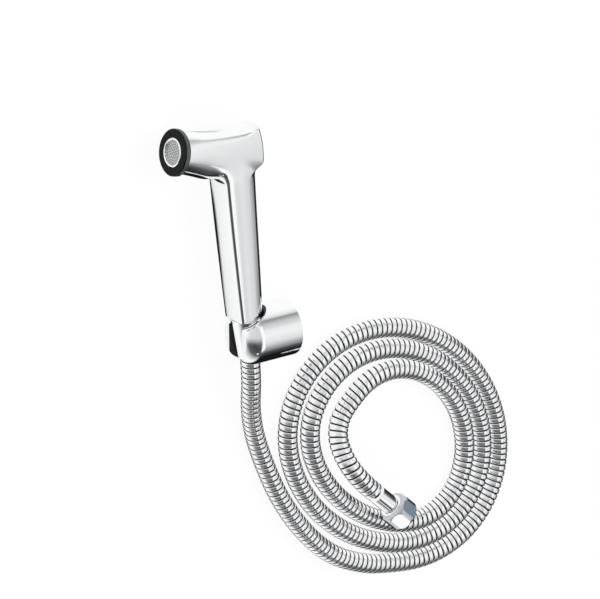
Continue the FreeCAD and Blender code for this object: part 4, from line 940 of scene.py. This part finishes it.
# Cards that the two near sides of the hexagonal nut see: where, level
CARDS = [((0.931, 0.139, 0.339), (0.19, 0.245, 0.30)), ((-0.051, -0.859, 0.510), (1.0, 1.0, 1.0))]
# Cosine of the turn from a card's middle, at its rim and where it is full
CARD_RIM = (0.9975, 0.999)
FLAG_TINT = (0.96, 0.985, 1.0)
FLOOR_GLOW = 0.92
# One set of flags gives way to another between these two values of a direction's x, y or z.
FRONT_FROM_X, FRONT_HIGH_FROM_Y = (0.28, 0.08), (-0.38, 0.20)
FRONT_LOW_FROM_Y, FRONT_LOW_FROM_Z = (-0.54, -0.62), (-0.60, -0.72)
BACK_FROM_X, BACK_HIGH_FROM_Y = (0.55, 0.72), (-0.16, -0.02)
BACK_UPPER_FROM_Y, BACK_LENGTHWISE_FROM_Z = (0.15, 0.25), (0.30, 0.50)
WHITE_FROM_X, WHITE_FROM_Z = (0.51, 0.40), (0.55, 0.70)


def add_math(tree, operation, first, second):
    """Two numbers or outputs, worked together."""
    node = tree.nodes.new("ShaderNodeMath")
    node.operation = operation
    for socket, value in zip(node.inputs, (first, second)):
        if isinstance(value, (int, float)):
            socket.default_value = value
        else:
            tree.links.new(value, socket)
    return node.outputs[0]


def add_ramp(tree, share, levels):
    """A ramp through grey levels at shares of its length."""
    node = tree.nodes.new("ShaderNodeValToRGB")
    stops = node.color_ramp.elements
    while len(stops) < len(levels):
        stops.new(0.5)
    for stop, (position, level) in zip(stops, levels):
        stop.position = position
        tint = [level ** (1 / channel) if level < 1 else level for channel in FLAG_TINT]
        stop.color = (*tint, 1)
    tree.links.new(share, node.inputs["Fac"])
    return node.outputs["Color"]


def add_mix(tree, share, first, second):
    """The first colour where the share is 0, the second where it is 1."""
    node = tree.nodes.new("ShaderNodeMixRGB")
    tree.links.new(share, node.inputs["Fac"])
    tree.links.new(first, node.inputs["Color1"])
    tree.links.new(second, node.inputs["Color2"])
    return node.outputs["Color"]


def add_spread(tree, value, low, high):
    """0 at low, 1 at high, with a soft start and end."""
    node = tree.nodes.new("ShaderNodeMapRange")
    node.interpolation_type = "SMOOTHSTEP"
    node.inputs["From Min"].default_value = low
    node.inputs["From Max"].default_value = high
    tree.links.new(value, node.inputs["Value"])
    return node.outputs["Result"]


class BIDET_OT_studio(bpy.types.Operator):
    """Sets up the floor, the light and the camera"""
    bl_idname = "bidet.studio"
    bl_label = "Studio"

    def execute(self, context):
        scene = context.scene
        settings = scene.bidet_studio
        self.make_floor(settings)
        self.make_sky(scene, settings)
        self.make_lamps()
        self.make_camera(scene, settings)
        scene.view_settings.view_transform = "Standard"
        return {"FINISHED"}

    def make_floor(self, settings):
        """A wide pale floor that shows evenly bright to the camera."""
        corners = [(x * FLOOR_REACH, y * FLOOR_REACH, FLOOR_LEVEL)
                   for x, y in ((-1, -1), (1, -1), (1, 1), (-1, 1))]
        floor = add_object("floor", new_mesh("floor", corners, [(0, 1, 2, 3)]))
        floor.visible_glossy = False
        material, tree, shader = fresh_material("pale_floor", settings.floor)
        shader.inputs["Roughness"].default_value = 0.9
        floor.data.materials.append(material)
        glow = tree.nodes.new("ShaderNodeEmission")
        glow.inputs["Strength"].default_value = 1.0
        ways = tree.nodes.new("ShaderNodeLightPath")
        total = ways.outputs["Is Camera Ray"]
        for way in ("Is Glossy Ray", "Is Transmission Ray"):
            total = add_math(tree, "MAXIMUM", total, ways.outputs[way])
        share = add_math(tree, "MULTIPLY", total, FLOOR_GLOW)
        mixed = tree.nodes.new("ShaderNodeMixShader")
        tree.links.new(share, mixed.inputs["Fac"])
        tree.links.new(shader.outputs["BSDF"], mixed.inputs[1])
        tree.links.new(glow.outputs["Emission"], mixed.inputs[2])
        tree.links.new(mixed.outputs["Shader"], tree.nodes["Material Output"].inputs["Surface"])

    def make_sky(self, scene, settings):
        """Even white light; polished metal sees a white studio with dark flags in it."""
        world = bpy.data.worlds.new("studio_sky")
        scene.world = world
        world.use_nodes = True
        tree = world.node_tree
        sky = tree.nodes["Background"]
        place = tree.nodes.new("ShaderNodeTexCoord")
        parts = tree.nodes.new("ShaderNodeSeparateXYZ")
        tree.links.new(place.outputs["Generated"], parts.inputs["Vector"])
        x, y, z = (parts.outputs[axis] for axis in "XYZ")
        swing = add_math(tree, "ARCTAN2", y, z)
        turn = add_math(tree, "ADD", add_math(tree, "DIVIDE", swing, 2 * math.pi), 0.5)
        length = add_ramp(tree, turn, LENGTHWISE_FLAGS)
        height = add_math(tree, "ADD", add_math(tree, "MULTIPLY", z, 0.5), 0.5)

        def ramped(levels):
            return add_ramp(tree, height, levels)

        def part(value, limits):
            return add_spread(tree, value, *limits)

        white = ramped([(0.0, 1.0), (1.0, 1.0)])
        dark = ramped([(0.0, LOW_FRONT_FLAG), (1.0, LOW_FRONT_FLAG)])
        front = add_mix(tree, part(y, FRONT_HIGH_FROM_Y), ramped(FRONT_FLAGS),
                        ramped(HIGH_FRONT_FLAGS))
        low = add_math(tree, "MULTIPLY", part(y, FRONT_LOW_FROM_Y), part(z, FRONT_LOW_FROM_Z))
        front = add_mix(tree, low, front, dark)
        back = add_mix(tree, part(y, BACK_HIGH_FROM_Y), ramped(BACK_FLAGS), ramped(HIGH_BACK_FLAGS))
        upper = add_mix(tree, part(z, BACK_LENGTHWISE_FROM_Z), white, length)
        back = add_mix(tree, part(y, BACK_UPPER_FROM_Y), back, upper)
        near = add_math(tree, "MULTIPLY", part(x, WHITE_FROM_X), part(z, WHITE_FROM_Z))
        seen = add_mix(tree, near, length, white)
        seen = add_mix(tree, part(x, FRONT_FROM_X), seen, front)
        seen = add_mix(tree, part(x, BACK_FROM_X), seen, back)
        for direction, colour in CARDS:
            facing = tree.nodes.new("ShaderNodeVectorMath")
            facing.operation = "DOT_PRODUCT"
            tree.links.new(place.outputs["Generated"], facing.inputs[0])
            facing.inputs[1].default_value = direction
            card = tree.nodes.new("ShaderNodeRGB")
            card.outputs[0].default_value = (*colour, 1)
            seen = add_mix(tree, part(facing.outputs["Value"], CARD_RIM), seen, card.outputs[0])
        ways = tree.nodes.new("ShaderNodeLightPath")
        level = tree.nodes.new("ShaderNodeRGB")
        level.outputs[0].default_value = (settings.sky, settings.sky, settings.sky, 1)
        colour = add_mix(tree, ways.outputs["Is Glossy Ray"], level.outputs[0], seen)
        tree.links.new(colour, sky.inputs["Color"])

    def make_lamps(self):
        """Soft lamps that reflections leave out."""
        for name, place, power in LAMPS:
            lamp = bpy.data.lights.new(name, "AREA")
            lamp.size = LAMP_SIZE
            lamp.energy = power
            light = add_object(name, lamp)
            light.location = place
            light.rotation_euler = (-Vector(place)).to_track_quat("-Z", "Y").to_euler()
            light.visible_glossy = False

    def make_camera(self, scene, settings):
        """A long lens that looks along the fitted camera direction."""
        lens = bpy.data.cameras.new("photo_camera")
        lens.lens = settings.lens
        lens.sensor_width = SENSOR_WIDTH
        lens.sensor_fit = "HORIZONTAL"
        lens.clip_end = VIEW_REACH
        right, up = CAMERA_RIGHT.normalized(), CAMERA_UP.normalized()
        back = right.cross(up).normalized()
        up = back.cross(right)
        aim = right * PICTURE_CENTRE[0] + up * PICTURE_CENTRE[1]
        distance = settings.lens * PICTURE_WIDTH * METRES_A_PIXEL / SENSOR_WIDTH
        turn = Matrix((right, up, back)).transposed().to_4x4()
        camera = add_object("photo_camera", lens)
        camera.matrix_world = Matrix.Translation(aim + back * distance) @ turn
        scene.camera = camera


class BIDET_PT_panel(bpy.types.Panel):
    """Lists the pieces and their sizes"""
    bl_idname = "BIDET_PT_panel"
    bl_label = "Bidet shower"
    bl_space_type = "VIEW_3D"
    bl_region_type = "UI"
    bl_category = "Bidet shower"

    def draw(self, context):
        scene = context.scene
        for group, settings in (
                ("Handset", scene.bidet_handset), ("Hose", scene.bidet_hose),
                ("Finishes", scene.bidet_finish), ("Studio", scene.bidet_studio)):
            box = self.layout.box()
            box.label(text=group)
            for name in settings.__annotations__:
                box.prop(settings, name)
        for operator in OPERATORS:
            self.layout.operator(operator.bl_idname)


OPERATORS = (BIDET_OT_handset, BIDET_OT_hose, BIDET_OT_nozzle, BIDET_OT_valve, BIDET_OT_couplings,
             BIDET_OT_holder, BIDET_OT_studio)
GROUPS = {"bidet_handset": HandsetSettings, "bidet_hose": HoseSettings,
          "bidet_finish": FinishSettings, "bidet_studio": StudioSettings}


def register():
    for name, group in GROUPS.items():
        bpy.utils.register_class(group)
        setattr(bpy.types.Scene, name, bpy.props.PointerProperty(type=group))
    for operator in OPERATORS:
        bpy.utils.register_class(operator)
    bpy.utils.register_class(BIDET_PT_panel)


def unregister():
    bpy.utils.unregister_class(BIDET_PT_panel)
    for operator in reversed(OPERATORS):
        bpy.utils.unregister_class(operator)
    for name, group in GROUPS.items():
        delattr(bpy.types.Scene, name)
        bpy.utils.unregister_class(group)


def main():
    register()
    bpy.ops.bidet.handset()
    bpy.ops.bidet.hose()
    bpy.ops.bidet.nozzle()
    bpy.ops.bidet.valve()
    bpy.ops.bidet.couplings()
    bpy.ops.bidet.holder()
    bpy.ops.bidet.studio()


if __name__ == "__main__":
    main()
